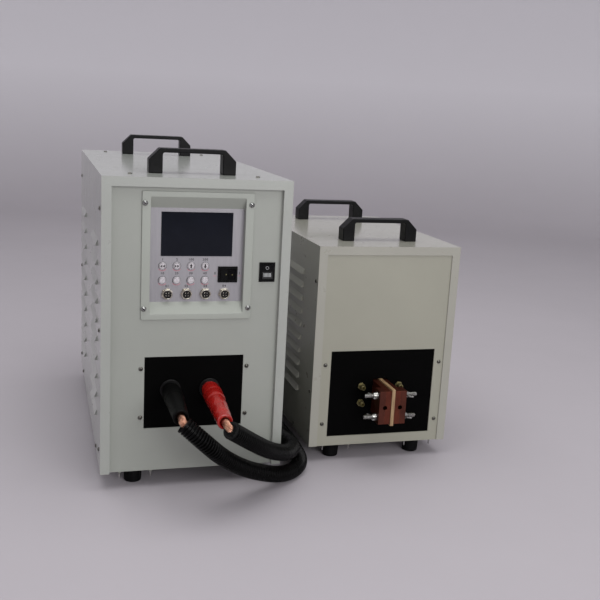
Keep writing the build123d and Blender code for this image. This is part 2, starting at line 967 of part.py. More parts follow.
# Corner points of the leads, chosen by hand, measured from the main cabinet's front edge on the
# table: the bends of each copper rope, then its hose along the cabinets to the transformer's rear
black_rope_bends = [(-38, -122), (-27.5, -132.5, 149.5)]
red_rope_bends = [(26, -140.5), (37.5, -148, 142)]
black_hose_corners = [
    (16, -124, 119), (66, -84, 72), (112, -44, 34), (154, -14, 15), (194, 36, 14.3),
    (207, 112, 14.3), (203, 220, 14.3), (198, 330, 14.6), (193.5, 460, 14.3), (193.5, 559, 14.6),
    (219.5, 604, 15), (264.5, 630, 26), (316.5, 630, 46), (361.5, 604, 66),
]
red_hose_corners = [
    (82, -104, 112), (124, -60, 80), (160, -18, 56), (186, 42, 45), (183, 120, 36),
    (169, 225, 18), (165.2, 340, 14.3), (163.8, 460, 14.6), (163.5, 579, 14.3),
    (201, 641.4, 15), (263.4, 677.4, 26), (351.1, 677.4, 46), (413.5, 641.4, 66),
]


def from_front_edge(corner):
    return Vector(main_x + corner[0], main_front + corner[1], corner[2])


def arc_radii(points):
    radii = []
    for before, corner, after in zip(points, points[1:], points[2:]):
        turn = (corner - before).get_angle(after - corner)
        shorter = min((corner - before).length, (after - corner).length)
        radii.append(0.45 * shorter / math.tan(math.radians(turn / 2)))
    return radii


def lead_path(name, points):
    # Straight runs joined by arcs as large as the runs allow
    radii = arc_radii(points)
    print(name, "arc radii", [round(radius) for radius in radii])
    with BuildLine() as line:
        FilletPolyline(*points, radius=radii)
    return line.wires()[0]


def across(path, distance):
    # Plane square to the path at a distance along it, with its x axis level
    centre = path.position_at(distance, position_mode=PositionMode.LENGTH)
    along = path.tangent_at(distance, position_mode=PositionMode.LENGTH)
    return Plane(centre, x_dir=Vector(0, 0, 1).cross(along), z_dir=along)


def path_stations(path):
    # Distances along the path where its longer runs end and where its arcs are divided
    reach = 0.0
    stations = [reach]
    for edge in path.edges():
        steps = 1
        if edge.geom_type == GeomType.CIRCLE:
            steps = math.ceil(math.degrees(edge.length / edge.radius) / arc_step)
        divided = [reach + edge.length * step / steps for step in range(1, steps + 1)]
        stations += [s for s in divided if s - stations[-1] > shortest_band]
        reach += edge.length
    stations[-1] = reach
    return stations


def rope_part(name, path):
    with BuildPart() as rope:
        with BuildSketch(across(path, 0)):
            RegularPolygon(rope_radius, nut_sides)
        sweep(path=path)
    report_volume(name, path, rope.part, rope_radius, nut_sides)
    return rope.part


def report_volume(name, path, part, radius, sides):
    section = sides / 2 * math.sin(2 * math.pi / sides) * radius**2
    ratio = part.volume / (section * path.length)
    print(name, "length", round(path.length), "volume over section times length", round(ratio, 3))


def hose_part(name, path, ribs):
    # Corrugated at the front: each rib is a crest and a root, then a smooth sleeve to the rear
    sections = []
    for rib in range(ribs):
        start = rib * rib_pitch
        sections.append((start, hose_radius))
        sections.append((start + rib_crest, hose_radius))
        sections.append((start + rib_crest + rib_slope, hose_root_radius))
        sections.append((start + rib_pitch - rib_slope, hose_root_radius))
    ribbed_length = ribs * rib_pitch
    sections.append((ribbed_length, hose_radius))
    sections += [(s, hose_radius) for s in path_stations(path) if s > ribbed_length + rib_slope]
    with BuildPart() as hose:
        for station, radius in sections:
            with BuildSketch(across(path, station)):
                RegularPolygon(radius, hose_sides)
        loft(ruled=True)
        report_volume(name, path, hose.part, hose_radius, hose_sides)
        with BuildSketch(across(path, 0)):
            RegularPolygon(hose_bore_radius, hose_sides)
        extrude(amount=hose_bore_depth, mode=Mode.SUBTRACT)
    return hose.part


def lead(name, bends, corners, plug_end, gland_x, last_run, ribs):
    # The rope leaves the boot level, bends twice and ends on the floor of the hose's bore
    first_bend = Vector(plug_end.X, main_front + bends[0][1], plug_end.Z)
    second_bend = from_front_edge(bends[1])
    runs = [from_front_edge(corner) for corner in corners]
    inward = (runs[0] - second_bend).normalized()
    mouth = second_bend + inward * mouth_gap
    floor = mouth + inward * hose_bore_depth
    rope_start = plug_end + Vector(0, plug_wall_depth, 0)
    rope_path = lead_path(name + "_rope", [rope_start, first_bend, second_bend, floor])
    gland = Vector(gland_x, lead_gland_face, lead_gland_z)
    hose_points = [mouth] + runs + [gland + Vector(0, last_run, 0), gland]
    hose_path = lead_path(name + "_lead_hose", hose_points)
    save(hose_part(name + "_lead_hose", hose_path, ribs), name + "_lead_hose")
    return rope_part(name + "_rope", rope_path)


black_plug_end = Vector(
    main_x + black_output_x, output_face - black_plug_length, output_z - black_plug_droop
)
red_plug_end = Vector(main_x + red_output_x, output_face - red_plug_length, output_z - red_plug_droop)
black_rope = lead("black", black_rope_bends, black_hose_corners, black_plug_end, lead_gland_xs[0],
                  black_last_run, black_hose_ribs)
red_rope = lead("red", red_rope_bends, red_hose_corners, red_plug_end, lead_gland_xs[1],
                red_last_run, red_hose_ribs)
save(Part() + [black_rope, red_rope], "lead_ropes")

# Copper terminals: an inner busbar on each side of the insulating sheet
stud_zs = (busbar_z - stud_pitch / 2, busbar_z + stud_pitch / 2)
busbar_length = unit_plate_face + plate_thickness + busbar_inside - busbar_face


def busbar(side):
    face = busbar_centre + side * insulator_thickness / 2
    seam_x = busbar_centre + side * seam
    with BuildPart() as bar:
        with BuildSketch(facing(busbar_face)):
            with Locations(((face + seam_x) / 2, busbar_z)):
                Rectangle(busbar_thickness, busbar_height)
        extrude(amount=-busbar_length)
        with BuildSketch(facing(busbar_face)):
            with Locations((seam_x, busbar_z)):
                Circle(coil_bore_radius)
        extrude(amount=-clamp_depth, mode=Mode.SUBTRACT)
        with BuildSketch(sideways(seam_x)):
            with Locations([(stud_y, z) for z in stud_zs]):
                RegularPolygon(stud_radius, round_sides)
        extrude(amount=-side * stud_seat, mode=Mode.SUBTRACT)
    return bar.part


def clamp_plate(side):
    seam_x = busbar_centre + side * seam
    with BuildPart() as plate:
        with BuildSketch(facing(busbar_face)):
            with Locations((seam_x + side * clamp_thickness / 2, busbar_z)):
                Rectangle(clamp_thickness, busbar_height)
        extrude(amount=-clamp_depth)
        with BuildSketch(facing(busbar_face)):
            with Locations((seam_x, busbar_z)):
                Circle(coil_bore_radius)
        extrude(amount=-clamp_depth, mode=Mode.SUBTRACT)
        with BuildSketch(sideways(seam_x)):
            with Locations([(stud_y, z) for z in stud_zs]):
                RegularPolygon(stud_radius + stud_hole_clearance, round_sides)
        extrude(amount=side * clamp_thickness, mode=Mode.SUBTRACT)
    return plate.part


save(busbar(-1), "left_busbar")
save(busbar(1), "right_busbar")
save(clamp_plate(-1), "left_clamp_plate")
save(clamp_plate(1), "right_clamp_plate")

with BuildPart() as busbar_insulator:
    with BuildSketch(facing(busbar_face - insulator_overhang / 2)):
        with Locations((busbar_centre, busbar_z)):
            Rectangle(insulator_thickness, busbar_height + 2 * insulator_overhang)
    extrude(amount=-(busbar_length + insulator_overhang / 2))
save(busbar_insulator.part, "busbar_insulator")

with BuildPart() as clamp_studs:
    for side in (-1, 1):
        start = busbar_centre + side * (seam - stud_seat)
        with BuildSketch(sideways(start)):
            with Locations([(stud_y, z) for z in stud_zs]):
                RegularPolygon(stud_radius - stud_clearance, round_sides)
        extrude(amount=side * (stud_seat + clamp_thickness + stud_reach))
save(clamp_studs.part, "clamp_studs")


# Wing nuts on the studs
def wing_nut(side, z):
    seat = busbar_centre + side * nut_seat
    hub = Plane(origin=(seat, stud_y, z), x_dir=(0, 1, 0), z_dir=(side, 0, 0))
    with BuildPart(hub) as nut:
        for radius, length in ((nut_base_radius, nut_base_length), (nut_top_radius, nut_length)):
            with BuildSketch(hub):
                RegularPolygon(radius, pin_sides)
            extrude(amount=length)
        with BuildSketch(Plane(origin=hub.origin, x_dir=hub.x_dir, z_dir=-hub.y_dir)):
            for way in (-1, 1):
                Polygon(
                    (0, wing_root),
                    (way * nut_base_radius, wing_root),
                    (way * wing_waist_reach, wing_waist_height),
                    (way * wing_span / 2, wing_height),
                    (way * wing_top_reach, wing_top),
                    (way * nut_base_radius, nut_length - wing_root),
                    (0, nut_length - wing_root),
                    align=None,
                )
        extrude(amount=wing_thickness / 2, both=True)
        with BuildSketch(hub):
            RegularPolygon(stud_radius + stud_clearance, round_sides, major_radius=False)
        extrude(amount=nut_length, mode=Mode.SUBTRACT)
    return nut.part


for side, side_name in ((-1, "left"), (1, "right")):
    for z, height_name in zip(stud_zs, ("lower", "upper")):
        save(wing_nut(side, z), side_name + "_" + height_name + "_wing_nut")


# Brass coolant nozzles beside the terminals
with BuildPart() as coolant_nozzles:
    for radius, sides, length in (
        (nozzle_base_radius, nut_sides, nozzle_base_thickness),
        (nozzle_radius, round_sides, nozzle_length),
    ):
        with BuildSketch(facing(unit_plate_face)):
            with Locations(nozzle_places):
                RegularPolygon(radius, sides)
        extrude(amount=length)
    with BuildSketch(facing(unit_plate_face - nozzle_length)):
        with Locations(nozzle_places):
            RegularPolygon(nozzle_bore_radius, pin_sides)
    extrude(amount=-nozzle_length + nozzle_base_thickness, mode=Mode.SUBTRACT)
save(coolant_nozzles.part, "coolant_nozzles")

# Water fittings on the rear panels: a bored round tail and a six-sided nut
main_fitting_length = fitting_reach + main_recess
rear_fittings = [(main_x + x, main_rear_face, main_fitting_length) for x in main_fitting_x]
rear_fittings += [(unit_x + x, unit_rear_face, unit_fitting_length) for x in unit_fitting_x]
with BuildPart() as water_fittings:
    for x, face, length in rear_fittings:
        with BuildSketch(facing(face)):
            with Locations((x, fitting_z)):
                Circle(fitting_radius)
        extrude(amount=-length)
        with BuildSketch(facing(face)):
            with Locations((x, fitting_z)):
                RegularPolygon(fitting_nut_radius, nut_sides)
        extrude(amount=-fitting_nut_thickness)
        with BuildSketch(facing(face)):
            with Locations((x, fitting_z)):
                RegularPolygon(fitting_bore_radius, round_sides)
        extrude(amount=-length, mode=Mode.SUBTRACT)
save(water_fittings.part, "water_fittings")

# Cable gland for the mains lead, and the glands where the lead hoses enter the transformer
mains_gland_x_place = main_x + mains_gland_x
with BuildPart() as cable_glands:
    for start, length, radius, sides in (
        (main_rear_face - mains_gland_tail, mains_gland_tail, mains_gland_tail_radius, round_sides),
        (main_rear_face, mains_gland_flange, mains_gland_flange_radius, nut_sides),
        (main_rear_face, mains_gland_reach, mains_gland_radius, round_sides),
    ):
        with BuildSketch(facing(start)):
            with Locations((mains_gland_x_place, mains_gland_z)):
                RegularPolygon(radius, sides)
        extrude(amount=-length)
    with BuildSketch(facing(main_rear_face - mains_gland_tail)):
        with Locations((mains_gland_x_place, mains_gland_z)):
            Circle(mains_gland_bore)
    extrude(amount=-(mains_gland_tail + mains_gland_reach), mode=Mode.SUBTRACT)
    for length, radius, sides in (
        (lead_gland_flange, lead_gland_flange_radius, nut_sides),
        (lead_gland_reach, lead_gland_radius, round_sides),
    ):
        with BuildSketch(facing(unit_rear_face)):
            with Locations([(x, lead_gland_z) for x in lead_gland_xs]):
                RegularPolygon(radius, sides)
        extrude(amount=-length)
save(cable_glands.part, "cable_glands")

# Earth studs with their nuts on both rear panels
with BuildPart() as earth_studs:
    for x, face in ((main_x + main_earth_x, main_rear_face), (unit_x + unit_earth_x, unit_rear_face)):
        for length, radius, sides in (
            (earth_stud_length, earth_stud_radius, round_sides),
            (earth_nut_thickness, earth_nut_radius, nut_sides),
        ):
            with BuildSketch(facing(face)):
                with Locations((x, earth_z)):
                    RegularPolygon(radius, sides)
            extrude(amount=-length)
save(earth_studs.part, "earth_studs")

# Inner parts of the main cabinet: a water-cooled plate on its foot, with the power modules
floor_z = foot_height + sheet
cold_face = main_front + cold_plate_y
with BuildPart() as cold_plate:
    with BuildSketch(facing(cold_face)):
        with Locations((main_x, floor_z)):
            Rectangle(cold_plate_width, cold_plate_height, align=(Align.CENTER, Align.MIN))
    extrude(amount=-cold_plate_thickness)
    with BuildSketch(facing(cold_face)):
        with Locations((main_x, floor_z)):
            Rectangle(cold_plate_width, cold_plate_thickness, align=(Align.CENTER, Align.MIN))
    extrude(amount=-cold_plate_foot)
save(cold_plate.part, "cold_plate")

with BuildPart() as power_modules:
    with BuildSketch(facing(cold_face)):
        with Locations((main_x, floor_z + cold_plate_height / 2)):
            with GridLocations(module_pitch, 1, module_count, 1):
                Rectangle(module_width, module_height)
    extrude(amount=module_depth)
save(power_modules.part, "power_modules")

# Inner parts of the transformer cabinet: the matching transformer's core and the tank capacitors
core_front = unit_plate_face + plate_thickness + busbar_inside
with BuildPart() as transformer_core:
    with BuildSketch(facing(core_front)):
        with Locations((busbar_centre, floor_z)):
            Rectangle(core_width, core_height, align=(Align.CENTER, Align.MIN))
        with Locations((busbar_centre, floor_z + core_height / 2)):
            Rectangle(core_window_width, core_window_height, mode=Mode.SUBTRACT)
    extrude(amount=-core_depth)
save(transformer_core.part, "transformer_core")

with BuildPart() as tank_capacitors:
    with BuildSketch(Plane.XY.offset(floor_z)):
        with Locations((unit_x, unit_back - tank_inset)):
            with GridLocations(tank_pitch, 1, tank_count, 1):
                RegularPolygon(tank_radius, round_sides)
    extrude(amount=tank_height)
save(tank_capacitors.part, "tank_capacitors")
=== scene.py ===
import math
import random

import bmesh
import bpy
from mathutils import Matrix, Vector


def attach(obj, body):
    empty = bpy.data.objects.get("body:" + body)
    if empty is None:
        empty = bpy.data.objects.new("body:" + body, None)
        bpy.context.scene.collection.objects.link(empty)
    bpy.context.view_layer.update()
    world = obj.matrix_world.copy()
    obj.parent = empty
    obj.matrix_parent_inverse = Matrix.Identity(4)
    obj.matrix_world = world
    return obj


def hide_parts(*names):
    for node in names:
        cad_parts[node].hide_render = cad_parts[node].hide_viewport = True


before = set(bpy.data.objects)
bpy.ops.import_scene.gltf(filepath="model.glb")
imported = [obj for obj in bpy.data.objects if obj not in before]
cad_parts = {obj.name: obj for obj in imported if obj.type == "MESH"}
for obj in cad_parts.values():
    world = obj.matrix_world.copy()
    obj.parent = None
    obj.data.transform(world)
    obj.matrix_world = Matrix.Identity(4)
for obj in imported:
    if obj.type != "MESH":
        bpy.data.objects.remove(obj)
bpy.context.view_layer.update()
scene = bpy.context.scene
dice = random.Random(7)
MM = 0.001

# Places shared with the frame, in millimetres
main_x, unit_x = -168.0, 185.5
main_front, main_back, main_top = -338.0, 302.0, 510.0
unit_front, unit_back, unit_top = -273.0, 147.0, 395.0
main_panel, unit_panel = -330.0, -271.0
main_rear, unit_rear = 294.0, 145.0
bezel_face, fascia_face, bezel_z = -333.0, -321.0, 386.5
main_plate, unit_plate = -328.0, -269.0
busbar_x, stud_y = 183.0, -322.0
stud_rises = (100.5, 139.5)
cover_half, unit_half = 150.0, 132.5
output_face, output_z = -331.0, 167.0
black_x, red_x = -206.0, -142.0
button_xs = (-222.05, -199.35, -176.65, -153.95)
button_rows = (("upper", 369.5, 1.8), ("lower", 346.5, 3.6))
socket_xs, socket_z = (-214.05, -183.35, -152.65, -121.95), 324.5
selector_z = 356.0
FRONT, REAR = Vector((0, -1, 0)), Vector((0, 1, 0))
UP, RIGHT = Vector((0, 0, 1)), Vector((1, 0, 0))


def at(x, y, z):
    return Vector((x, y, z)) * MM


def aim(origin, direction, up=UP, turn=0.0):
    """Place whose z axis points along direction and whose y axis is nearest to up."""
    z = direction.normalized()
    x = up.cross(z).normalized()
    spin = Matrix.Rotation(turn, 4, "Z")
    return Matrix.Translation(origin) @ Matrix((x, z.cross(x), z)).transposed().to_4x4() @ spin


# Camera, from the fit of the photograph
focal_length, sensor_width = 53.18, 36.0
camera_spot = at(-408.35, -1701.46, 627.09)
yaw, pitch, roll = (math.radians(a) for a in (-16.76, -12.32, 3.11))
forward = Vector(
    (-math.sin(yaw) * math.cos(pitch), math.cos(yaw) * math.cos(pitch), math.sin(pitch))
)
level = Vector((math.cos(yaw), math.sin(yaw), 0))
upward = level.cross(forward)
camera_right = math.cos(roll) * level + math.sin(roll) * upward
camera_up = math.cos(roll) * upward - math.sin(roll) * level
lens = bpy.data.cameras.new("camera")
lens.lens = focal_length
lens.sensor_width = sensor_width
camera = bpy.data.objects.new("camera", lens)
scene.collection.objects.link(camera)
camera.matrix_world = (
    Matrix.Translation(camera_spot)
    @ Matrix((camera_right, camera_up, -forward)).transposed().to_4x4()
)
scene.camera = camera


# Materials
coat_roughness, relief_strength = 0.12, 0.7
patch_low, patch_high = 0.32, 0.68
octave_roughness, gloss_finer, least_rough = 0.6, 6, 0.03
paint = {}


def linear(rgb):
    """Linear colour of a colour given as 0 to 255."""
    out = []
    for v in rgb:
        v = v / 255
        out.append(v / 12.92 if v <= 0.04045 else ((v + 0.055) / 1.055) ** 2.4)
    return out


def finish(
    name,
    rgb,
    roughness,
    metallic=0.0,
    spread=0.05,
    patch=7.0,
    grain=700.0,
    relief=0.00003,
    rough_spread=0.08,
    stretch=(1, 1, 1),
    coat=0.0,
    specular=0.5,
    edge=0.0,
    second=None,
    fleck=None,
):
    """A procedural finish: broad colour patches, fine relief and uneven gloss.

    The relief and the edge radius are in metres, patch and grain are noise scales, and
    fleck is a colour, its noise scale and the two ends of its ramp.
    """
    material = bpy.data.materials.new(name)
    material.use_nodes = True
    tree = material.node_tree
    new, link = tree.nodes.new, tree.links.new
    shader = tree.nodes["Principled BSDF"]
    shader.inputs["Metallic"].default_value = metallic
    shader.inputs["Specular IOR Level"].default_value = specular
    shader.inputs["Coat Weight"].default_value = coat
    shader.inputs["Coat Roughness"].default_value = coat_roughness
    coords = new("ShaderNodeTexCoord")
    mapping = new("ShaderNodeMapping")
    mapping.inputs["Scale"].default_value = stretch
    link(coords.outputs["Object"], mapping.inputs["Vector"])

    def noise(scale, detail, source=mapping):
        node = new("ShaderNodeTexNoise")
        node.inputs["Scale"].default_value = scale
        node.inputs["Detail"].default_value = detail
        node.inputs["Roughness"].default_value = octave_roughness
        link(source.outputs["Vector"], node.inputs["Vector"])
        return node.outputs["Fac"]

    base = linear(rgb)
    other = linear(second) if second else [v * (1 + spread) for v in base]
    ramp = new("ShaderNodeValToRGB")
    ramp.color_ramp.elements[0].position = patch_low
    ramp.color_ramp.elements[1].position = patch_high
    ramp.color_ramp.elements[0].color = (*[v * (1 - spread) for v in base], 1)
    ramp.color_ramp.elements[1].color = (*other, 1)
    link(noise(patch, 5), ramp.inputs["Fac"])
    colour = ramp.outputs["Color"]
    if fleck:
        shade, scale, low, high = fleck
        spots = new("ShaderNodeValToRGB")
        spots.color_ramp.elements[0].position = low
        spots.color_ramp.elements[1].position = high
        link(noise(scale, 3), spots.inputs["Fac"])
        mix = new("ShaderNodeMix")
        mix.data_type = "RGBA"
        link(spots.outputs["Color"], mix.inputs["Factor"])
        link(colour, mix.inputs["A"])
        mix.inputs["B"].default_value = (*linear(shade), 1)
        colour = mix.outputs["Result"]
    link(colour, shader.inputs["Base Color"])

    gloss = new("ShaderNodeMapRange")
    gloss.inputs["To Min"].default_value = max(least_rough, roughness - rough_spread)
    gloss.inputs["To Max"].default_value = min(1.0, roughness + rough_spread)
    link(noise(patch * gloss_finer, 4), gloss.inputs["Value"])
    link(gloss.outputs["Result"], shader.inputs["Roughness"])

    bump = new("ShaderNodeBump")
    bump.inputs["Strength"].default_value = relief_strength
    bump.inputs["Distance"].default_value = relief
    link(noise(grain, 3), bump.inputs["Height"])
    if edge:
        soft = new("ShaderNodeBevel")
        soft.samples = 4
        soft.inputs["Radius"].default_value = edge
        link(soft.outputs["Normal"], bump.inputs["Normal"])
    link(bump.outputs["Normal"], shader.inputs["Normal"])
    paint[name] = material
    return material


brushed_up = (14, 14, 1)
brushed_level = (1, 14, 14)
finish("cover_paint", (154, 157, 151), 0.3, spread=0.03, relief=0.00002, coat=0.6)
finish("grey_paint", (148, 151, 144), 0.42, spread=0.03)
finish("warm_grey_paint", (147, 146, 133), 0.42, spread=0.03)
finish("warm_cover_paint", (152, 151, 141), 0.3, spread=0.03, relief=0.00002, coat=0.6)
finish("handle_black", (8, 8, 9), 0.4, spread=0.12, grain=1500, relief=0.00006, specular=0.1)
finish("bezel_grey", (153, 157, 149), 0.38, spread=0.03, grain=1200)
finish("screw_chrome", (166, 167, 165), 0.2, metallic=1.0, spread=0.06, patch=120, grain=2500,
       relief=0.00002)
finish("fascia_silver", (145, 143, 147), 0.36, metallic=0.25, patch=18, stretch=brushed_up,
       grain=350, relief=0.00001)
finish("display_dark", (15, 18, 26), 0.12, spread=0.15, patch=30, relief=0.000003, coat=0.05,
       rough_spread=0.03, specular=0.1)
finish("button_grey", (188, 184, 187), 0.28, metallic=0.3, patch=90, grain=2200, relief=0.00002,
       coat=0.3)
finish("switch_black", (5, 5, 6), 0.3, spread=0.1, patch=60, grain=2600, relief=0.00002,
       specular=0.1)
finish("socket_metal", (212, 208, 200), 0.2, metallic=1.0, spread=0.08, patch=120, grain=1800,
       second=(178, 170, 152))
finish("insert_black", (8, 8, 8), 0.4, spread=0.1, patch=100, grain=2000, specular=0.25)
finish("insulator_black", (3, 3, 3), 0.5, spread=0.2, patch=14, grain=900, relief=0.00006,
       specular=0.03)
finish("plug_black", (7, 7, 7), 0.45, spread=0.15, patch=40, grain=1400, relief=0.00006,
       specular=0.08)
finish("plug_red", (150, 22, 18), 0.26, spread=0.14, patch=55, grain=1100, relief=0.00005,
       coat=0.5, fleck=((92, 12, 10), 120, 0.7, 0.95))
finish("rope_copper", (182, 126, 102), 0.28, metallic=1.0, spread=0.14, patch=260, grain=4200,
       relief=0.00012, second=(226, 178, 152), fleck=((92, 48, 34), 600, 0.5, 0.8))
finish("hose_black", (4, 4, 4), 0.26, spread=0.2, patch=30, grain=1300, relief=0.00001,
       specular=0.1, fleck=((10, 10, 9), 45, 0.66, 0.95))
finish("gland_black", (12, 12, 13), 0.42, spread=0.12, patch=60, grain=1800, relief=0.00004,
       specular=0.35)
finish("fitting_brass", (176, 150, 88), 0.26, metallic=1.0, spread=0.1, patch=120, grain=1500,
       second=(140, 116, 66))
finish("clamp_copper", (68, 31, 21), 0.4, metallic=0.7, spread=0.12, patch=34, grain=300,
       relief=0.00004, stretch=(2, 1, 1), second=(84, 41, 29), edge=0.0009,
       fleck=((36, 16, 12), 60, 0.58, 0.95))
finish("nozzle_brass", (158, 150, 108), 0.3, metallic=0.8, spread=0.1, patch=120, grain=1500,
       second=(126, 116, 78))
finish("stud_steel", (176, 176, 174), 0.27, metallic=1.0, spread=0.08, patch=140, grain=1800,
       second=(150, 149, 144))
finish("foot_rubber", (8, 8, 9), 0.6, spread=0.2, patch=50, grain=1500, relief=0.00009,
       specular=0.1)
finish("busbar_copper", (84, 38, 26), 0.38, metallic=0.75, spread=0.1, patch=34, grain=300,
       relief=0.00004, stretch=(2, 1, 1), second=(98, 47, 33), edge=0.0009,
       fleck=((46, 20, 14), 60, 0.6, 0.95))
finish("insulator_ivory", (136, 108, 76), 0.5, spread=0.1, second=(158, 132, 98), patch=50,
       grain=900, relief=0.00005, stretch=(8, 1, 1))
finish("plate_aluminium", (196, 196, 198), 0.32, metallic=1.0, patch=12, stretch=brushed_level,
       grain=300, relief=0.00002)
finish("module_black", (32, 32, 34), 0.5, spread=0.15, patch=30, grain=1200, relief=0.00005)
finish("board_green", (20, 78, 48), 0.35, spread=0.2, patch=60, grain=500)
finish("core_dark", (62, 62, 65), 0.6, spread=0.18, patch=30, grain=800, relief=0.00008)
finish("capacitor_metal", (180, 181, 183), 0.28, metallic=1.0, spread=0.06, patch=14,
       stretch=brushed_level, grain=400, relief=0.00002)
finish("mark_dark", (22, 18, 21), 0.5, spread=0.1, patch=200, relief=0.00001)
# Pink-red for the printed selector dashes and for the painted crescent shadow under each button
finish("red_print_and_painted_shadow", (184, 122, 132), 0.5, spread=0.1, patch=200, relief=0.00001)
# Pale for the printed O on the power rocker and for the painted highlight bars below it
finish("pale_print_and_painted_highlight", (150, 152, 152), 0.5, spread=0.08, patch=200, relief=0.00001)
finish("mark_olive", (100, 94, 54), 0.4, spread=0.1, patch=200, relief=0.00001)
# Painted shade for the groove on each button cap and the gap round each button
finish("seam_painted_shade", (52, 50, 54), 0.5, spread=0.1, patch=200, relief=0.00001)
# Painted shade for the insides of the screws' cross recesses
finish("recess_painted_shade", (26, 25, 24), 0.6, spread=0.1, patch=200, relief=0.00001)
finish("screw_dark", (140, 138, 132), 0.3, metallic=1.0, spread=0.12, patch=150, grain=2000,
       second=(70, 68, 62))
node_finish = {
    "main_cover": "cover_paint",
    "transformer_cover": "warm_cover_paint",
    "main_tray": "cover_paint",
    "transformer_tray": "warm_cover_paint",
    "main_front_panel": "grey_paint",
    "main_rear_panel": "grey_paint",
    "transformer_front_panel": "warm_grey_paint",
    "transformer_rear_panel": "warm_grey_paint",
    "fascia_plate": "fascia_silver",
    "display_panel": "display_dark",
    "switch_frames": "switch_black",
    "selector_rocker": "switch_black",
    "power_rocker": "switch_black",
    "main_insulating_plate": "insulator_black",
    "transformer_insulating_plate": "insulator_black",
    "left_busbar": "busbar_copper",
    "right_busbar": "busbar_copper",
    "left_clamp_plate": "clamp_copper",
    "right_clamp_plate": "clamp_copper",
    "busbar_insulator": "insulator_ivory",
    "cold_plate": "plate_aluminium",
    "power_modules": "module_black",
    "control_board": "board_green",
    "transformer_core": "core_dark",
    "tank_capacitors": "capacitor_metal",
}
for node, key in node_finish.items():
    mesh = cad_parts[node].data
    mesh.materials.clear()
    mesh.materials.append(paint[key])


# Mesh helpers
def into(bm, other, place=Matrix.Identity(4), material=None):
    """Moves other to its place and adds it to bm."""
    if material is not None:
        for face in other.faces:
            face.material_index = material
    other.transform(place)
    mesh = bpy.data.meshes.new("part")
    other.to_mesh(mesh)
    other.free()
    bm.from_mesh(mesh)
    bpy.data.meshes.remove(mesh)


def piece(name, bm, keys, body="cabinets", stands_for=None, sharp=35):
    """Object from bm that rides on a body, with edges sharper than sharp degrees kept."""
    bmesh.ops.recalc_face_normals(bm, faces=bm.faces)
    mesh = bpy.data.meshes.new(name)
    bm.to_mesh(mesh)
    bm.free()
    for key in keys:
        mesh.materials.append(paint[key])
    mesh.polygons.foreach_set("use_smooth", [True] * len(mesh.polygons))
    mesh.set_sharp_from_angle(angle=math.radians(sharp))
    made = bpy.data.objects.new(name, mesh)
    scene.collection.objects.link(made)
    flats = made.modifiers.new("flats", "WEIGHTED_NORMAL")
    flats.keep_sharp = True
    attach(made, body)
    if stands_for:
        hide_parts(stands_for)
    return made


def join_rings(bm, rings, material=0):
    """Faces between each ring of points and the next."""
    for a, b in zip(rings, rings[1:]):
        count = max(len(a), len(b))
        for i in range(count):
            j = (i + 1) % count
            corners = [a[i % len(a)], a[j % len(a)], b[j % len(b)], b[i % len(b)]]
            corners = list(dict.fromkeys(corners))
            if len(corners) > 2:
                bm.faces.new(corners).material_index = material


def lathe(bm, place, profile, segments=40, material=0, drop=None):
    """Turned shape: profile is (height along z, radius) in millimetres, 0 closes it."""
    rings = []
    for height, radius in profile:
        shift = drop(height) if drop else Vector()
        if radius < 1e-6:
            rings.append([bm.verts.new(place @ (at(0, 0, height) + shift))])
            continue
        ring = []
        for i in range(segments):
            angle = 2 * math.pi * i / segments
            point = at(radius * math.cos(angle), radius * math.sin(angle), height)
            ring.append(bm.verts.new(place @ (point + shift)))
        rings.append(ring)
    join_rings(bm, rings, material)


def prism(bm, place, outline, low, high, bevel=0.0, segments=2, material=0):
    """Outline in millimetres, pushed along z from low to high, with rounded edges."""
    other = bmesh.new()
    floor = [other.verts.new(at(x, y, low)) for x, y in outline]
    roof = [other.verts.new(at(x, y, high)) for x, y in outline]
    other.faces.new(floor)
    other.faces.new(roof)
    for i in range(len(outline)):
        j = (i + 1) % len(outline)
        other.faces.new([floor[i], floor[j], roof[j], roof[i]])
    bmesh.ops.recalc_face_normals(other, faces=other.faces)
    if bevel:
        bmesh.ops.bevel(
            other, geom=other.edges[:], offset=bevel * MM, segments=segments, profile=0.5,
            affect="EDGES", clamp_overlap=True,
        )
    into(bm, other, place, material)


def many_sided(radius, sides, turn=0.0):
    """Outline of a regular polygon."""
    return [
        (
            radius * math.cos(turn + 2 * math.pi * i / sides),
            radius * math.sin(turn + 2 * math.pi * i / sides),
        )
        for i in range(sides)
    ]


rings_per_pitch = 5


def thread(bm, place, radius, depth, pitch, start, end, segments=24):
    """Screw thread as a helix of crests, in millimetres."""
    steps = max(4, round((end - start) / pitch * rings_per_pitch))
    rings = [[bm.verts.new(place @ at(0, 0, start))]]
    for k in range(steps + 1):
        z = start + (end - start) * k / steps
        ring = []
        for i in range(segments):
            turn = i / segments
            angle = 2 * math.pi * turn
            phase = (z / pitch - turn) % 1.0
            r = radius - depth * (1 - abs(2 * phase - 1))
            if k in (0, steps):
                r = radius - depth
            ring.append(bm.verts.new(place @ at(r * math.cos(angle), r * math.sin(angle), z)))
        rings.append(ring)
    rings.append([bm.verts.new(place @ at(0, 0, end))])
    join_rings(bm, rings)


def cut(bm, tool):
    """bm with tool taken away."""
    objects = []
    for source in (bm, tool):
        mesh = bpy.data.meshes.new("part")
        source.to_mesh(mesh)
        source.free()
        made = bpy.data.objects.new("part", mesh)
        scene.collection.objects.link(made)
        objects.append(made)
    modifier = objects[0].modifiers.new("cut", "BOOLEAN")
    modifier.operation = "DIFFERENCE"
    modifier.solver = "EXACT"
    modifier.object = objects[1]
    graph = bpy.context.evaluated_depsgraph_get()
    result = bpy.data.meshes.new_from_object(objects[0].evaluated_get(graph))
    out = bmesh.new()
    out.from_mesh(result)
    for made in objects:
        bpy.data.meshes.remove(made.data)
    bpy.data.meshes.remove(result)
    return out


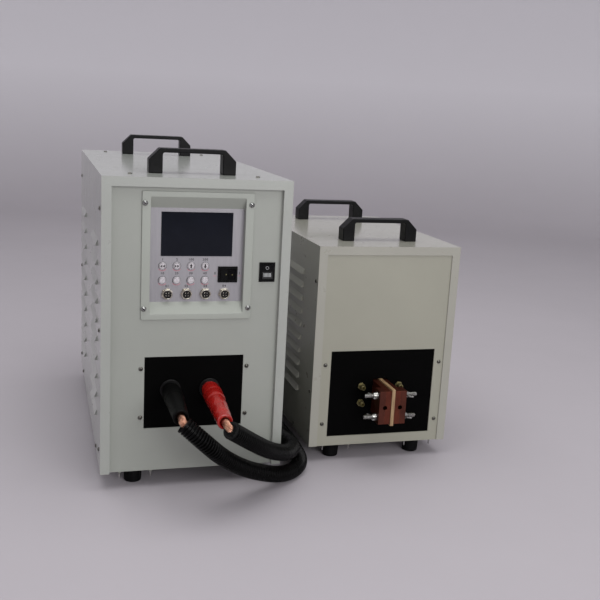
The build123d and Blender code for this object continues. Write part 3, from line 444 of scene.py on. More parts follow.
def arc_band(bm, place, inner, outer, start, end, z, steps=14, material=0):
    """Flat band between two radii, from one angle to another in degrees."""
    rows = []
    for k in range(steps + 1):
        angle = math.radians(start + (end - start) * k / steps)
        rows.append(
            [
                bm.verts.new(place @ at(r * math.cos(angle), r * math.sin(angle), z))
                for r in (inner, outer)
            ]
        )
    for a, b in zip(rows, rows[1:]):
        bm.faces.new([a[0], a[1], b[1], b[0]]).material_index = material


stroke_share, letter_spacing = 0.02, 1.25


def word(name, text, size, place, key, body="cabinets"):
    """Flat figures, size in millimetres."""
    data = bpy.data.curves.new(name, "FONT")
    data.body = text
    data.size = size * MM
    data.align_x = "CENTER"
    data.align_y = "CENTER"
    data.offset = size * MM * stroke_share
    data.space_character = letter_spacing
    holder = bpy.data.objects.new(name + "_curve", data)
    scene.collection.objects.link(holder)
    bpy.context.view_layer.update()
    mesh = bpy.data.meshes.new_from_object(holder)
    bpy.data.objects.remove(holder)
    bpy.data.curves.remove(data)
    mesh.transform(place)
    mesh.materials.clear()
    mesh.materials.append(paint[key])
    made = bpy.data.objects.new(name, mesh)
    scene.collection.objects.link(made)
    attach(made, body)
    return made


# Leads
route_resolution = 48


def from_front_edge(x, y, z):
    """Point given from the middle of the main cabinet's front edge, in millimetres."""
    return Vector((main_x + x, main_front + y, z))


def read_line(name, points):
    """Points along the NURBS curve that has these control points."""
    data = bpy.data.curves.new(name, "CURVE")
    data.dimensions = "3D"
    data.resolution_u = route_resolution
    spline = data.splines.new("NURBS")
    spline.points.add(len(points) - 1)
    for knot, point in zip(spline.points, points):
        knot.co = (*(point * MM), 1)
    spline.order_u = 3
    spline.use_endpoint_u = True
    holder = bpy.data.objects.new(name, data)
    scene.collection.objects.link(holder)
    bpy.context.view_layer.update()
    mesh = bpy.data.meshes.new_from_object(holder)
    line = [v.co.copy() for v in mesh.vertices]
    bpy.data.objects.remove(holder)
    bpy.data.curves.remove(data)
    bpy.data.meshes.remove(mesh)
    return line


def reach_of(line):
    """Distance along a line to each of its points, in metres."""
    reach = [0.0]
    for a, b in zip(line, line[1:]):
        reach.append(reach[-1] + (b - a).length)
    return reach


def frames_along(line, stations):
    """Centre, direction and two cross axes at distances along a line."""
    reach = reach_of(line)
    found, i, side = [], 0, None
    for s in stations:
        s = min(max(s, 0.0), reach[-1])
        while i < len(line) - 2 and reach[i + 1] < s:
            i += 1
        share = (s - reach[i]) / max(reach[i + 1] - reach[i], 1e-9)
        centre = line[i].lerp(line[i + 1], share)
        before, after = line[max(i - 1, 0)], line[min(i + 2, len(line) - 1)]
        along = (line[i + 1] - before).normalized().lerp((after - line[i]).normalized(), share)
        along.normalize()
        if side is None:
            side = along.cross(UP).normalized()
        side = (side - along * side.dot(along)).normalized()
        found.append((centre, along, side.copy(), along.cross(side)))
    return found


def tube(bm, frames, radii, sides, offset=None, closed=True):
    """Tube with a radius in millimetres at each frame, moved aside by offset."""
    rings = []
    for k, ((centre, _, a, b), radius) in enumerate(zip(frames, radii)):
        if offset:
            centre = centre + offset(k, a, b)
        rings.append(
            [
                bm.verts.new(
                    centre
                    + a * (radius * MM * math.cos(2 * math.pi * i / sides))
                    + b * (radius * MM * math.sin(2 * math.pi * i / sides))
                )
                for i in range(sides)
            ]
        )
    join_rings(bm, rings)
    if closed:
        bm.faces.new(rings[0])
        bm.faces.new(rings[-1])
    return rings


hose_radius, hose_root, hose_bore, rib_pitch = 14.0, 11.2, 10.0, 4.9
hose_sides, bore_depth, bore_spare, mouth_wall = 28, 24.0, 6.0, 2.0
crest_round, mouth_round = 0.35, 0.3


def hose(name, line, node):
    """Corrugated hose whose wall turns in at the mouth and runs down the bore."""
    total = reach_of(line)[-1] / MM
    ribs = int(total / rib_pitch)
    pitch = total / ribs
    stations, radii = [], []
    for rib in range(ribs):
        for share, radius in (
            (0.0, hose_root), (0.24, hose_root), (0.42, hose_radius - crest_round),
            (0.52, hose_radius), (0.72, hose_radius), (0.82, hose_radius - crest_round),
        ):
            stations.append((rib + share) * pitch)
            radii.append(radius)
    stations.append(total)
    radii.append(hose_radius - mouth_round)
    bore = [total - bore_depth - bore_spare, total - mouth_wall, total]
    bm = bmesh.new()
    frames = frames_along(line, [s * MM for s in stations])
    outside = tube(bm, frames, radii, hose_sides, closed=False)
    bm.faces.new(outside[0])
    frames = frames_along(line, [s * MM for s in bore])
    inside = tube(bm, frames, [hose_bore] * len(bore), hose_sides, closed=False)
    bm.faces.new(inside[0])
    rims = [
        bm.edges.get(pair)
        for ring in (outside[-1], inside[-1])
        for pair in zip(ring, ring[1:] + ring[:1])
    ]
    bmesh.ops.bridge_loops(bm, edges=rims)
    return piece(name, bm, ["hose_black"], stands_for=node, sharp=60)


rope_steps, strand_radius, strand_sides = 56, 1.3, 9
strand_layers = ((0.0, 1), (2.5, 6), (4.95, 12))
inner_lay, outer_lay, outer_from = 1.15, -1.35, 4
strand_turn, strand_in, strand_out, wobble_rate = 0.08, 0.25, 0.1, 0.35


def rope(name, line):
    """Rope of round strands, laid one way in the middle and the other way outside."""
    bm = bmesh.new()
    total = reach_of(line)[-1]
    frames = frames_along(line, [total * k / rope_steps for k in range(rope_steps + 1)])
    for radius, count in strand_layers:
        for number in range(count):
            start = 2 * math.pi * number / count + dice.uniform(-strand_turn, strand_turn)
            wobble = dice.uniform(-strand_in, strand_out)
            lay = inner_lay if radius < outer_from else outer_lay

            def offset(k, a, b):
                angle = start + lay * math.pi * k / rope_steps
                away = (radius + wobble * math.sin(k * wobble_rate + start)) * MM
                return a * (away * math.cos(angle)) + b * (away * math.sin(angle))

            tube(bm, frames, [strand_radius] * len(frames), strand_sides, offset)
    return piece(
        name, bm, ["rope_copper"], stands_for="lead_ropes", sharp=60
    )


def droop_share(share):
    """Part of a boot's whole droop that it has at a share of its length."""
    knots = ((0, 0), (0.08, 0), (0.14, 0.03), (0.42, 0.23), (0.45, 0.26), (0.85, 0.76),
             (0.88, 0.82), (1, 1))
    for (a, low), (b, high) in zip(knots, knots[1:]):
        if share <= b:
            return low + (high - low) * (share - a) / (b - a)
    return 1.0


def boot(name, x, length, droop, sections, key):
    """Plug boot: sections give the radius at shares of the length, then the bore."""
    bm = bmesh.new()
    place = aim(at(x, output_face, output_z), FRONT)
    profile = [(0, 0)]
    profile += [(share * length, radius) for share, radius in sections]
    profile += [(length - 0.4, 9.0), (length - 1.6, 7.4), (length - 12, 7.1), (length - 12, 0)]
    lathe(
        bm, place, profile, segments=56,
        drop=lambda height: at(0, -droop * droop_share(height / length), 0),
    )
    return piece(name, bm, [key], stands_for=name[: name.index("_boot")], sharp=50)


black_sections = (
    (0.0, 12.6), (0.004, 13.0), (0.055, 13.0), (0.06, 13.3), (0.066, 14.5), (0.074, 14.8),
    (0.092, 14.8), (0.1, 14.4), (0.108, 14.4), (0.118, 15.0), (0.14, 15.6), (0.18, 15.8),
    (0.3, 15.8), (0.306, 15.5), (0.318, 15.5), (0.324, 15.75), (0.41, 15.6), (0.43, 15.2),
    (0.45, 14.8), (0.6, 14.1), (0.72, 13.6), (0.84, 13.0), (0.862, 12.5), (0.9, 12.4),
    (0.955, 12.3), (0.985, 12.2), (0.996, 11.6), (1.0, 10.8),
)
red_sections = (
    (0.0, 12.6), (0.004, 13.0), (0.05, 13.0), (0.056, 13.2), (0.062, 14.3), (0.07, 14.7),
    (0.088, 14.7), (0.095, 14.2), (0.103, 14.2), (0.11, 14.9), (0.13, 15.5), (0.17, 15.8),
    (0.25, 15.8), (0.262, 15.75), (0.268, 15.2), (0.28, 15.2), (0.287, 15.5), (0.4, 15.5),
    (0.43, 15.3), (0.445, 14.9), (0.452, 14.2), (0.47, 14.1), (0.6, 13.9), (0.66, 13.7),
    (0.672, 13.1), (0.69, 13.0), (0.8, 12.9), (0.85, 12.8), (0.86, 12.4), (0.88, 12.3),
    (0.955, 12.3), (0.985, 12.2), (0.996, 11.6), (1.0, 10.8),
)
rope_seat = 12.0
leads = {
    "black": {
        "plug": (black_x, 111.0, 7.5, black_sections),
        "first_bend": -111.0,
        "mouth": (-35.9, -121, 154.7),
        "corners": [
            (-8, -129, 129.8), (33.9, -103, 86), (89.7, -62, 45.5), (156, -16, 15),
            (200, 31, 14.3), (207, 112, 14.3), (203, 220, 14.3), (198, 330, 14.6),
            (193.5, 460, 14.3), (193.5, 559, 14.6), (219.5, 604, 15), (264.5, 630, 26),
            (316.5, 630, 46), (361.5, 604, 66),
        ],
        "gland": (219.5, 169.0, 80.0),
        "last_run": 52.0,
        "length": 1.157,
    },
    "red": {
        "plug": (red_x, 130.0, 11.0, red_sections),
        "first_bend": -130.0,
        "mouth": (31.7, -140, 149.6),
        "corners": [
            (81, -105, 109.5), (123, -61, 77), (160, -18, 57), (186, 42, 45), (183, 120, 36),
            (169, 225, 18), (165.2, 340, 14.3), (163.8, 460, 14.6), (163.5, 579, 14.3),
            (201, 641.4, 15), (263.4, 677.4, 26), (351.1, 677.4, 46), (413.5, 641.4, 66),
        ],
        "gland": (281.5, 169.0, 80.0),
        "last_run": 72.0,
        "length": 1.245,
    },
}
for colour, lead in leads.items():
    x, length, droop, sections = lead["plug"]
    plug = boot(colour + "_plug_boot", x, length, droop, sections, "plug_" + colour)
    plug_end = Vector((x, output_face - length, output_z - droop))
    mouth = from_front_edge(*lead["mouth"])
    corners = [from_front_edge(*corner) for corner in lead["corners"]]
    inward = (corners[0] - mouth).normalized()
    rope_line = read_line(
        colour + "_rope_route",
        [
            plug_end + REAR * rope_seat,
            Vector((x, main_front + lead["first_bend"], plug_end.z)),
            mouth,
            mouth + inward * bore_depth,
        ],
    )
    strands = rope(colour + "_rope_strands", rope_line)
    gland = Vector(lead["gland"])
    hose_line = read_line(
        colour + "_hose_route",
        [gland, gland + Vector((0, lead["last_run"], 0))] + corners[::-1] + [mouth],
    )
    cover = hose(colour + "_corrugated_hose", hose_line, colour + "_lead_hose")


# Handles
handle_half_depth = 13.5


def handle(node, x, y, top):
    """Bridge handle that stands on a cabinet's top."""
    outline = [
        (-71, 0), (-71, 22.4), (-53.4, 40), (53.4, 40), (71, 22.4), (71, 0), (49, 0),
        (49, 31.3), (47, 33.3), (-47, 33.3), (-49, 31.3), (-49, 0),
    ]
    bm = bmesh.new()
    prism(bm, aim(at(x, y, top), FRONT), outline, -handle_half_depth, handle_half_depth,
          bevel=1.3, segments=3)
    return piece(node + "_moulding", bm, ["handle_black"], stands_for=node)


handle("main_front_handle", main_x, -251.0, main_top)
handle("main_rear_handle", main_x, 215.0, main_top)
handle("transformer_front_handle", unit_x, -198.0, unit_top)
handle("transformer_rear_handle", unit_x, 91.0, unit_top)

# Rubber feet: x, y and the way to the screws beside each
foot_height, tip_shift = 30, 25
feet = [
    (x + s * reach, y, way * run)
    for x, reach, spots, run in (
        (main_x, 93.5, (main_front + 44, main_back - 44), 38.0),
        (unit_x, 80.0, (unit_front + 34, unit_back - 34), 28.0),
    )
    for s in (-1, 1)
    for y, way in zip(spots, (-1, 1))
]
bm = bmesh.new()
for x, y, run in feet:
    lathe(
        bm, aim(at(x, y, 0), UP, REAR),
        [
            (9, 0), (9, 5.6), (0.6, 6.4), (0, 7.2), (0, 12.4), (0.5, 13.5), (1.6, 14.2),
            (5.6, 14.4), (6.0, 14.1), (6.6, 14.1), (7.0, 14.5), (28.4, 15.4), (29.6, 15.1),
            (30, 14.4), (30, 0),
        ],
        segments=48,
    )
    lathe(
        bm, aim(at(x, y, 0), UP, REAR), [(4.5, 0), (4.5, 3.6), (5.2, 4.4), (9, 4.4), (9, 0)],
        segments=24, material=1,
    )
piece("rubber_feet_turned", bm, ["foot_rubber", "stud_steel"], stands_for="rubber_feet",
      sharp=40)


# Screws: radius and height of the heads, and the shares of their cross recesses
large_head, small_head = (4.5, 3.2), (3.6, 2.2)
slot_reach, slot_half, slot_floor = 0.62, 0.13, 0.42


def cross_head(radius, height):
    """Pan head with a cross recess whose faces take the second material, a dark paint for the
    shade in the recess.
    """
    head = bmesh.new()
    lathe(
        head, Matrix.Identity(4),
        [
            (0, 0), (0, radius * 0.96), (height * 0.12, radius), (height * 0.34, radius * 0.97),
            (height * 0.62, radius * 0.84), (height * 0.84, radius * 0.62),
            (height * 0.96, radius * 0.34), (height, 0),
        ],
        segments=32,
    )
    bmesh.ops.recalc_face_normals(head, faces=head.faces)
    wide, thin = radius * slot_reach, radius * slot_half
    for turn in (0, math.pi / 2):
        slot = bmesh.new()
        prism(
            slot, Matrix.Rotation(turn, 4, "Z"),
            [(-wide, -thin), (wide, -thin), (wide, thin), (-wide, thin)],
            height * slot_floor, height * 1.4,
        )
        bmesh.ops.recalc_face_normals(slot, faces=slot.faces)
        head = cut(head, slot)
    head.normal_update()
    # The recess walls and floor take the dark second material: painted shade
    for face in head.faces:
        low = face.calc_center_median().z < height * (slot_floor + 0.001) * MM
        if (abs(face.normal.z) < 0.01 and not low) or (low and face.normal.z > 0.99):
            face.material_index = 1
    return head


def screws(name, node, places, radius, height, key, slot):
    """One head at each place, each turned its own way."""
    pattern = cross_head(radius, height)
    bm = bmesh.new()
    for origin, direction, up in places:
        into(bm, pattern.copy(), aim(origin, direction, up, dice.uniform(0, math.pi / 2)))
    pattern.free()
    return piece(name, bm, [key, "recess_painted_shade"], stands_for=node)


bezel_reach, bezel_rise = 84.0, 83.5
bezel_places = [
    (at(main_x + a * bezel_reach, bezel_face, bezel_z + b * bezel_rise), FRONT, UP)
    for a in (-1, 1)
    for b in (-1, 1)
]
screws("bezel_screw_heads", "bezel_screws", bezel_places, *large_head, "screw_chrome",
       "screw_chrome")
panel_places = [
    (at(x + a * reach, face, z + b * rise), FRONT, UP)
    for x, reach, face, z, rise in (
        (main_x, 86.6, main_panel, 162.7, 41.0), (unit_x, 109.5, unit_panel, 126.9, 55.0)
    )
    for a in (-1, 1)
    for b in (-1, 1)
]
panel_places += [
    (at(x + a * reach, face, z), REAR, UP)
    for x, reach, face, rises in (
        (main_x, 128.0, main_rear, (52.0, 466.0)), (unit_x, 110.5, unit_rear, (52.0, 351.0))
    )
    for a in (-1, 1)
    for z in rises
]
screws("panel_screw_heads", "panel_screws", panel_places, *small_head, "screw_dark",
       "stud_steel")
cover_places = [
    (at(x + a * half, y, z), RIGHT * a, UP)
    for x, half, spots in (
        (
            main_x, cover_half,
            [(y, z) for y in (-304.0, 268.0) for z in (61.0, 262.0, 457.0)]
            + [(-236.0, 40.0), (200.0, 40.0)],
        ),
        (
            unit_x, unit_half,
            [(y, z) for y in (-261.0, 135.0) for z in (132.0, 332.0)]
            + [(-171.0, 40.0), (45.0, 40.0)],
        ),
    )
    for a in (-1, 1)
    for y, z in spots
]
cover_places += [
    (at(main_x + a * 103, y, main_top), UP, REAR) for a in (-1, 1) for y in (-286.0, 250.0)
]
screws("cover_screw_heads", "cover_screws", cover_places, *small_head, "screw_dark",
       "stud_steel")

# Screw tips under the trays, beside the feet
bm = bmesh.new()
for x, y, run in feet:
    for shift in (-tip_shift, tip_shift):
        lathe(
            bm, aim(at(x + shift, y + run, foot_height), -UP, REAR),
            [(0, 0), (0, 2.6), (1.2, 2.4), (1.3, 1.5), (8.4, 1.5), (10.0, 0.4), (10.0, 0)],
            segments=16,
        )
piece("tray_screw_tips", bm, ["stud_steel"])

# Bezel moulding: a rounded flange and slopes down to the fascia
corner_steps = 5


def frame_ring(bm, half, top, bottom, y, round_top, round_bottom):
    """Ring of points round a rectangle with rounded corners."""
    corners = (
        (half, top, round_top, 0), (-half, top, round_top, 90),
        (-half, bottom, round_bottom, 180), (half, bottom, round_bottom, 270),
    )
    ring = []
    for x, z, radius, start in corners:
        centre_x = x - math.copysign(radius, x)
        centre_z = z - (radius if z == top else -radius)
        for k in range(corner_steps + 1):
            angle = math.radians(start + 90 / corner_steps * k)
            ring.append(
                bm.verts.new(
                    at(main_x + centre_x + radius * math.cos(angle), y,
                       centre_z + radius * math.sin(angle))
                )
            )
    return ring


bm = bmesh.new()
bezel_rings = [
    frame_ring(bm, *section)
    for section in (
        (88.5, 488.5, 284.5, main_panel, 1.5, 4.0),
        (88.5, 488.5, 284.5, bezel_face + 1.0, 1.5, 4.0),
        (88.2, 488.2, 284.8, bezel_face + 0.35, 1.3, 3.8),
        (87.5, 487.5, 285.5, bezel_face, 1.0, 3.4),
        (75.9, 480.4, 293.6, bezel_face, 2.4, 2.4),
        (75.2, 479.7, 294.3, bezel_face + 0.25, 2.0, 2.0),
        (75.0, 479.3, 294.7, bezel_face + 0.7, 1.8, 1.8),
        (75.0, 462.0, 311.5, fascia_face, 1.8, 1.8),
        (78.0, 479.5, 293.5, fascia_face, 1.8, 1.8),
        (78.0, 479.5, 293.5, main_panel, 1.8, 1.8),
    )
]
join_rings(bm, bezel_rings + bezel_rings[:1])
piece("bezel_moulding", bm, ["bezel_grey"], stands_for="control_bezel")

# Fascia: buttons with their marks
for row, z, proud in button_rows:
    for number, x in enumerate(button_xs, start=1):
        node = f"{row}_button_{number}"
        place = aim(at(x, fascia_face, z), FRONT)
        bm = bmesh.new()
        lathe(
            bm, place,
            [
                (-2.3, 0), (-2.3, 6.0), (proud - 0.5, 6.0), (proud - 0.15, 5.85), (proud, 5.5),
                (proud - 0.05, 5.2),
            ],
            segments=40,
        )
        # Groove ring on the cap in dark paint: painted shade
        lathe(bm, place, [(proud - 0.05, 5.2), (proud - 0.5, 5.1), (proud - 0.5, 4.75)],
              segments=40, material=1)
        lathe(
            bm, place,
            [(proud - 0.5, 4.75), (proud - 0.12, 4.6), (proud - 0.06, 3.0), (proud - 0.04, 0)],
            segments=40,
        )
        lathe(bm, place, [(-3.8, 0), (-3.8, 7.4), (-2.3, 7.4), (-2.3, 0)], segments=24)
        prism(bm, place, [(-2, -2), (2, -2), (2, 2), (-2, 2)], -7.8, -3.8)
        if row == "upper":
            shapes = {
                1: [[(-3.9, 0), (-0.4, -2.3), (-0.4, 2.3)], [(0.1, 0), (3.6, -2.3), (3.6, 2.3)]],
                2: [[(3.9, 0), (0.4, 2.3), (0.4, -2.3)], [(-0.1, 0), (-3.6, 2.3), (-3.6, -2.3)]],
                3: [[(0, 3.9), (-2.6, 0.3), (2.6, 0.3)],
                    [(-1.2, 0.3), (-1.2, -3.4), (1.2, -3.4), (1.2, 0.3)]],
                4: [[(0, -3.9), (2.6, -0.3), (-2.6, -0.3)],
                    [(1.2, -0.3), (1.2, 3.4), (-1.2, 3.4), (-1.2, -0.3)]],
            }[number]
            for outline in shapes:
                prism(bm, place, outline, proud - 0.2, proud, material=2)
        piece(node + "_cap", bm, ["button_grey", "seam_painted_shade", "mark_dark"], body=node,
              stands_for=node)

# Painted shade rings round the buttons, painted shadow arcs under them, and printed dashes and
# figures, all just proud of the fascia
print_and_shade_y, figure_y = fascia_face - 0.05, fascia_face - 0.06
figure_rows = (
    ("upper", ("1", "2", "100", "200"), 380.0), ("lower", ("10", "20", "30", "40"), 357.6)
)
selector_marks = (("selector_off", "0", -137.6), ("selector_on", "1", -97.4))
dash_z, selector_figure_z, socket_figure_z = 353.4, 357.6, 337.0
figure_size, selector_figure_size = 5.0, 5.4
bm = bmesh.new()
for _, z, _ in button_rows:
    for x in button_xs:
        place = aim(at(x, print_and_shade_y, z), FRONT)
        # Dark ring round each button: painted shade of the gap
        arc_band(bm, place, 6.35, 6.75, -180, 180, 0, steps=40)
        # Pink-red arc under each button: painted shadow
        arc_band(bm, place, 7.3, 8.3, -140, -40, 0, steps=16, material=1)
for _, _, x in selector_marks:
    place = aim(at(x, print_and_shade_y, dash_z), FRONT)
    prism(bm, place, [(-2.6, -0.4), (2.6, -0.4), (2.6, 0.4), (-2.6, 0.4)], 0, 0.04, material=1)
piece("fascia_print_and_painted_shade", bm, ["seam_painted_shade", "red_print_and_painted_shadow"])
for number, x in enumerate(button_xs):
    for row, texts, z in figure_rows:
        word(f"{row}_figure_{number + 1}", texts[number], figure_size,
             aim(at(x, figure_y, z), FRONT), "mark_dark")
for name, text, x in selector_marks:
    word(name, text, selector_figure_size, aim(at(x, figure_y, selector_figure_z), FRONT),
         "mark_dark")
for number, x in enumerate(socket_xs, start=1):
    word(f"socket_figure_{number}", f"0{number}", figure_size,
         aim(at(x, figure_y, socket_figure_z), FRONT), "mark_dark")

# Signal sockets: threaded shell, nut, insert and pins
shells, inserts = bmesh.new(), bmesh.new()
for x in socket_xs:
    place = aim(at(x, fascia_face, socket_z), FRONT)
    nut = many_sided(9.6, 6, math.radians(dice.uniform(0, 60)))
    prism(shells, place, nut, 0.0, 2.0, bevel=0.35)
    profile = [(2.0, 7.5)]
    for k in range(5):
        profile += [(2.2 + k, 7.98), (2.5 + k, 7.98), (2.85 + k, 7.45), (3.05 + k, 7.45)]
    profile += [(7.2, 7.4), (7.5, 7.1), (7.5, 6.75), (7.1, 6.4), (-1.5, 6.4)]
    lathe(shells, place, profile, segments=40)
    lathe(shells, place, [(-13, 0), (-13, 7.6), (-2, 7.6), (-2, 0)], segments=24)
    lathe(inserts, place, [(-1.4, 0), (-1.4, 6.34), (4.2, 6.34), (4.5, 6.0), (4.5, 0)],
          segments=36)
    prism(inserts, place, [(-0.9, 5.0), (0.9, 5.0), (0.9, 6.3), (-0.9, 6.3)], 4.4, 6.4, bevel=0.2)
    for i in range(4):
        angle = math.radians(45 + 90 * i)
        pin = place @ Matrix.Translation(at(3.0 * math.cos(angle), 3.0 * math.sin(angle), 0))
        lathe(inserts, pin, [(4.3, 0.95), (6.4, 0.95), (6.9, 0.6), (7.0, 0)], segments=14,
              material=1)
piece("signal_socket_shells", shells, ["socket_metal"], stands_for="signal_sockets")
piece("signal_socket_cores", inserts, ["insert_black", "socket_metal"],
      stands_for="signal_socket_inserts")


# Marks on the rockers, drawn on the paddle's own faces; the power rocker's pale bars are painted
# highlight on its lower half
paddle_middle, paddle_rise, paddle_half, mark_lift = 2.4, 1.6, 11.5, 0.05
rest_tilt = -8.0


def on_paddle(origin, long_way, across, along, lean):
    """Place on a paddle face: distance along it from the pin, face leaning by lean degrees."""
    rise = paddle_middle + abs(along) * paddle_rise / paddle_half + mark_lift
    spin = Matrix.Rotation(math.radians(rest_tilt), 4, across)
    base = spin @ (long_way * along * MM + FRONT * rise * MM)
    turned = Matrix.Rotation(math.radians(rest_tilt + lean), 4, across)
    y, z = (turned @ long_way).normalized(), (turned @ FRONT).normalized()
    return Matrix.Translation(origin + base) @ Matrix((y.cross(z), y, z)).transposed().to_4x4()


power_pin = at(-54.0, main_panel, 361.5)
selector_pin = at(-117.0, fascia_face, selector_z)
slope = math.degrees(math.atan2(paddle_rise, paddle_half))
bm = bmesh.new()
upper_face = on_paddle(power_pin, UP, RIGHT, 6.6, slope)
lower_face = on_paddle(power_pin, UP, RIGHT, -4.9, -slope)
arc_band(bm, upper_face, 2.0, 2.7, -180, 180, 0, steps=36)
# Six pale bars on the lower face: painted highlight
for i in range(6):
    left = -6.2 + i * 2.2
    prism(bm, lower_face, [(left, -3.1), (left + 1.3, -3.1), (left + 1.3, 3.1), (left, 3.1)],
          0, 0.12, bevel=0.05)
piece("power_rocker_print_and_highlight", bm, ["pale_print_and_painted_highlight"], body="power_rocker")
bm = bmesh.new()
for along in (-2.2, 7.4):
    face = on_paddle(selector_pin, RIGHT, UP, along, -slope if along > 0 else slope)
    lathe(bm, face, [(0.0, 1.0), (0.12, 0.9), (0.16, 0)], segments=20)
piece("selector_rocker_marks", bm, ["mark_olive"], body="selector_rocker")

# Output sockets behind the plugs
bm = bmesh.new()
for x in (black_x, red_x):
    place = aim(at(x, main_plate, output_z), FRONT)
    lathe(bm, place, [(0, 13), (0, 17), (2.4, 17), (3.0, 16.4), (3.0, 0)], segments=48)
    lathe(bm, place, [(-34, 0), (-34, 12.4), (-33.4, 13), (0, 13)], segments=40)
piece("output_socket_bodies", bm, ["insert_black"], stands_for="output_sockets")

# Clamp studs, wing nuts and coolant nozzles
stud_start, stud_length, nut_seat = 6, 43.0, 25.2
thread_size, wing_half = (3.95, 0.6, 1.25), 1.3
nozzle_xs, nozzle_zs = (147.0, 219.0), (109.0, 140.0)
bm = bmesh.new()
for side in (-1, 1):
    for z in stud_rises:
        place = aim(at(busbar_x + side * stud_start, stud_y, z), RIGHT * side)
        thread(bm, place, *thread_size, 0, stud_length - 0.8)
        lathe(
            bm, place,
            [(stud_length - 0.9, 3.3), (stud_length - 0.2, 2.7), (stud_length, 0)], segments=24,
        )
piece("threaded_studs", bm, ["stud_steel"], stands_for="clamp_studs")


def wing_nut(node, side, z):
    """Wing nut whose hub faces away from the busbars."""
    hub = aim(at(busbar_x + side * nut_seat, stud_y, z), RIGHT * side)
    bm = bmesh.new()
    lathe(
        bm, hub,
        [
            (0.0, 4.2), (0.0, 6.3), (0.3, 6.8), (1.6, 6.8), (2.2, 6.4), (3.0, 5.9), (7.2, 5.4),
            (7.8, 5.1), (8.0, 4.6), (8.0, 4.1), (0.0, 4.2),
        ],
        segments=36,
    )
    wing = aim(hub.translation, UP, RIGHT * side)
    for way in (-1, 1):
        outline = [
            (way * 4.4, 1.0), (way * 7.2, 1.1), (way * 10.2, 2.6), (way * 13.2, 5.4),
            (way * 15.2, 8.2), (way * 15.95, 10.6), (way * 15.4, 12.3), (way * 13.8, 12.9),
            (way * 12.2, 12.3), (way * 10.2, 10.0), (way * 8.0, 8.0), (way * 6.2, 7.0),
            (way * 4.4, 6.8),
        ]
        prism(bm, wing, outline, -wing_half, wing_half, bevel=0.55, segments=3)
    return piece(node + "_casting", bm, ["stud_steel"], body=node, stands_for=node)


for side, side_name in ((-1, "left"), (1, "right")):
    for z, height_name in zip(stud_rises, ("lower", "upper")):
        wing_nut(f"{side_name}_{height_name}_wing_nut", side, z)

bm = bmesh.new()
for x in nozzle_xs:
    for z in nozzle_zs:
        place = aim(at(x, unit_plate, z), FRONT)
        prism(bm, place, many_sided(7.0, 6, math.radians(dice.uniform(0, 60))), 0, 3.0, bevel=0.4)
        lathe(
            bm, place,
            [
                (3.0, 4.4), (4.0, 4.4), (5.0, 4.9), (7.0, 4.3), (7.2, 4.9), (9.2, 4.3),
                (9.4, 4.9), (12.6, 4.4), (13.6, 4.2), (14.0, 3.8), (14.0, 3.0), (13.6, 2.8),
                (3.2, 2.8), (3.2, 0),
            ],
            segments=32,
        )
piece("brass_nozzles", bm, ["nozzle_brass"], stands_for="coolant_nozzles")

# Rear fittings
bm = bmesh.new()
for x, face, length in (
    (main_x - 90, main_rear, 44.0), (main_x - 40, main_rear, 44.0),
    (unit_x - 92, unit_rear, 40.0), (unit_x - 42, unit_rear, 40.0),
):
    place = aim(at(x, face, 90.0), REAR)
    prism(bm, place, many_sided(12.5, 6, 0.3), 0, 9.0, bevel=0.8)
    profile = [(9.0, 7.4), (12.0, 7.4)]
    height = 12.0
    while height + 6.0 < length - 2:
        profile += [(height + 0.4, 8.0), (height + 5.6, 7.1)]
        height += 6.0
    profile += [
        (height + 0.4, 7.9), (length - 1, 7.2), (length, 6.6), (length, 5.9),
        (length - 0.6, 5.5), (2.0, 5.5), (2.0, 0),
    ]
    lathe(bm, place, profile, segments=40)
piece("hose_barbs", bm, ["fitting_brass"], stands_for="water_fittings")

bm = bmesh.new()
place = aim(at(main_x + 70, main_rear, 120.0), REAR)
prism(bm, place, many_sided(20.0, 6, 0.1), 0, 5.0, bevel=0.8)
lathe(
    bm, place,
    [
        (-12, 9.0), (-12, 12.4), (0, 12.4), (5, 15.0), (6, 17.0), (22, 17.0), (27, 16.0),
        (31, 14.0), (33.4, 12.0), (34, 11.0), (34, 9.6), (33.4, 9.05), (-12, 9.0),
    ],
    segments=48,
)
for i in range(12):
    angle = 2 * math.pi * i / 12
    rib = place @ Matrix.Rotation(angle, 4, "Z") @ Matrix.Translation(at(16.2, 0, 0))
    prism(bm, rib, [(-1, -1.2), (0.7, -0.8), (0.7, 0.8), (-1, 1.2)], 7, 20, bevel=0.2)
for x in (unit_x + 34, unit_x + 96):
    place = aim(at(x, unit_rear, 80.0), REAR)
    prism(bm, place, many_sided(19.5, 6, 0.25), 0, 5.0, bevel=0.8)
    lathe(
        bm, place,
        [
            (0, 15), (5, 15.4), (5.6, 17), (18, 17), (18.4, 16.4), (19, 16.4), (19.4, 17),
            (22.6, 16.8), (23.8, 16.0), (24, 15.0), (24, 0),
        ],
        segments=48,
    )
piece("gland_mouldings", bm, ["gland_black"], stands_for="cable_glands")

bm = bmesh.new()
for x, face in ((main_x + 85, main_rear), (unit_x - 67, unit_rear)):
    place = aim(at(x, face, 54.0), REAR)
    lathe(bm, place, [(0, 4), (0, 6.9), (0.9, 6.9), (1.0, 6.6), (1.0, 4)], segments=36)
    prism(bm, place, many_sided(7.0, 6, 0.4), 1.0, 7.0, bevel=0.5)
    thread(bm, place, 3.98, 0.6, 1.25, 0.2, 25.4)
    lathe(bm, place, [(25.3, 3.3), (25.9, 2.8), (26.0, 0)], segments=24)
piece("earth_stud_sets", bm, ["stud_steel"], stands_for="earth_studs")


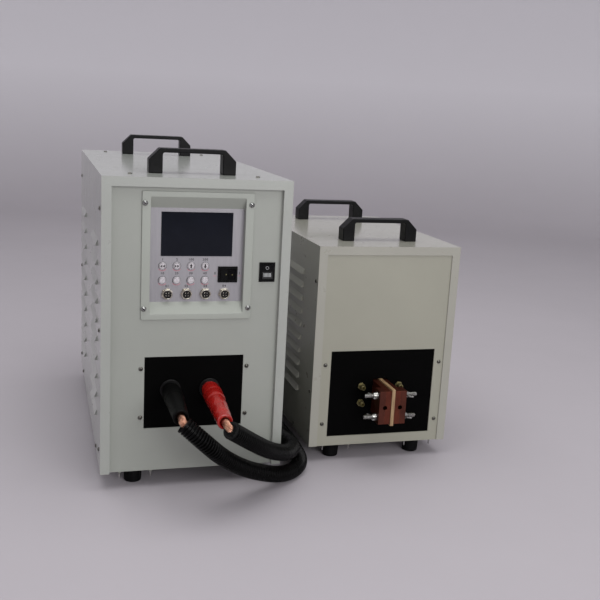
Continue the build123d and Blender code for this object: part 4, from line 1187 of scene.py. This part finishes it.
# Floor sweep and lights
floor_radius, bend_radius, wall_top, floor_sides = 3200, 1500, 3400, 96
sweep = [(0, 0), (0, floor_radius)]
sweep += [
    (bend_radius * (1 - math.cos(math.radians(a))),
     floor_radius + bend_radius * math.sin(math.radians(a)))
    for a in range(10, 100, 10)
]
sweep.append((wall_top, floor_radius + bend_radius))
bm = bmesh.new()
lathe(bm, Matrix.Identity(4), sweep, segments=floor_sides)
bmesh.ops.recalc_face_normals(bm, faces=bm.faces)
mesh = bpy.data.meshes.new("floor")
bm.to_mesh(mesh)
bm.free()
mesh.polygons.foreach_set("use_smooth", [True] * len(mesh.polygons))
floor_paint = finish("floor_pale", (170, 165, 170), 0.85, spread=0.015, patch=2.0, grain=120,
                     relief=0.0001, specular=0.2)
# The sweep grows paler up to this height in metres
pale_from = 0.8
new, link = floor_paint.node_tree.nodes.new, floor_paint.node_tree.links.new
shader = floor_paint.node_tree.nodes["Principled BSDF"]
low_colour = shader.inputs["Base Color"].links[0].from_socket
coords, split = new("ShaderNodeTexCoord"), new("ShaderNodeSeparateXYZ")
rise, mix = new("ShaderNodeMapRange"), new("ShaderNodeMix")
mix.data_type = "RGBA"
link(coords.outputs["Object"], split.inputs["Vector"])
link(split.outputs["Z"], rise.inputs["Value"])
rise.inputs["From Max"].default_value = pale_from
link(rise.outputs["Result"], mix.inputs["Factor"])
link(low_colour, mix.inputs["A"])
mix.inputs["B"].default_value = (*linear((216, 213, 218)), 1)
link(mix.outputs["Result"], shader.inputs["Base Color"])
mesh.materials.append(floor_paint)
floor = bpy.data.objects.new("floor", mesh)
scene.collection.objects.link(floor)


def area_light(name, place, target, size_x, size_y, power):
    """Soft box at a place in metres that faces a target."""
    data = bpy.data.lights.new(name, "AREA")
    data.shape = "RECTANGLE"
    data.size = size_x
    data.size_y = size_y
    data.energy = power
    lamp = bpy.data.objects.new(name, data)
    scene.collection.objects.link(lamp)
    lamp.location = place
    lamp.rotation_mode = "QUATERNION"
    lamp.rotation_quaternion = (Vector(target) - Vector(place)).to_track_quat("-Z", "Y")


area_light("top_softbox", (-0.1, -0.5, 2.9), (0, 0, 0.3), 2.8, 2.4, 50)
area_light("left_softbox", (-3.0, 0.2, 1.5), (0, 0, 0.25), 1.8, 1.6, 10)
area_light("front_softbox", (0.6, -3.2, 1.2), (0, 0, 0.25), 2.0, 1.6, 50)
world = bpy.data.worlds.new("studio")
world.use_nodes = True
background = world.node_tree.nodes["Background"]
background.inputs["Color"].default_value = (0.98, 0.98, 1.0, 1)
background.inputs["Strength"].default_value = 0.6
scene.world = world
scene.view_settings.view_transform = "Standard"
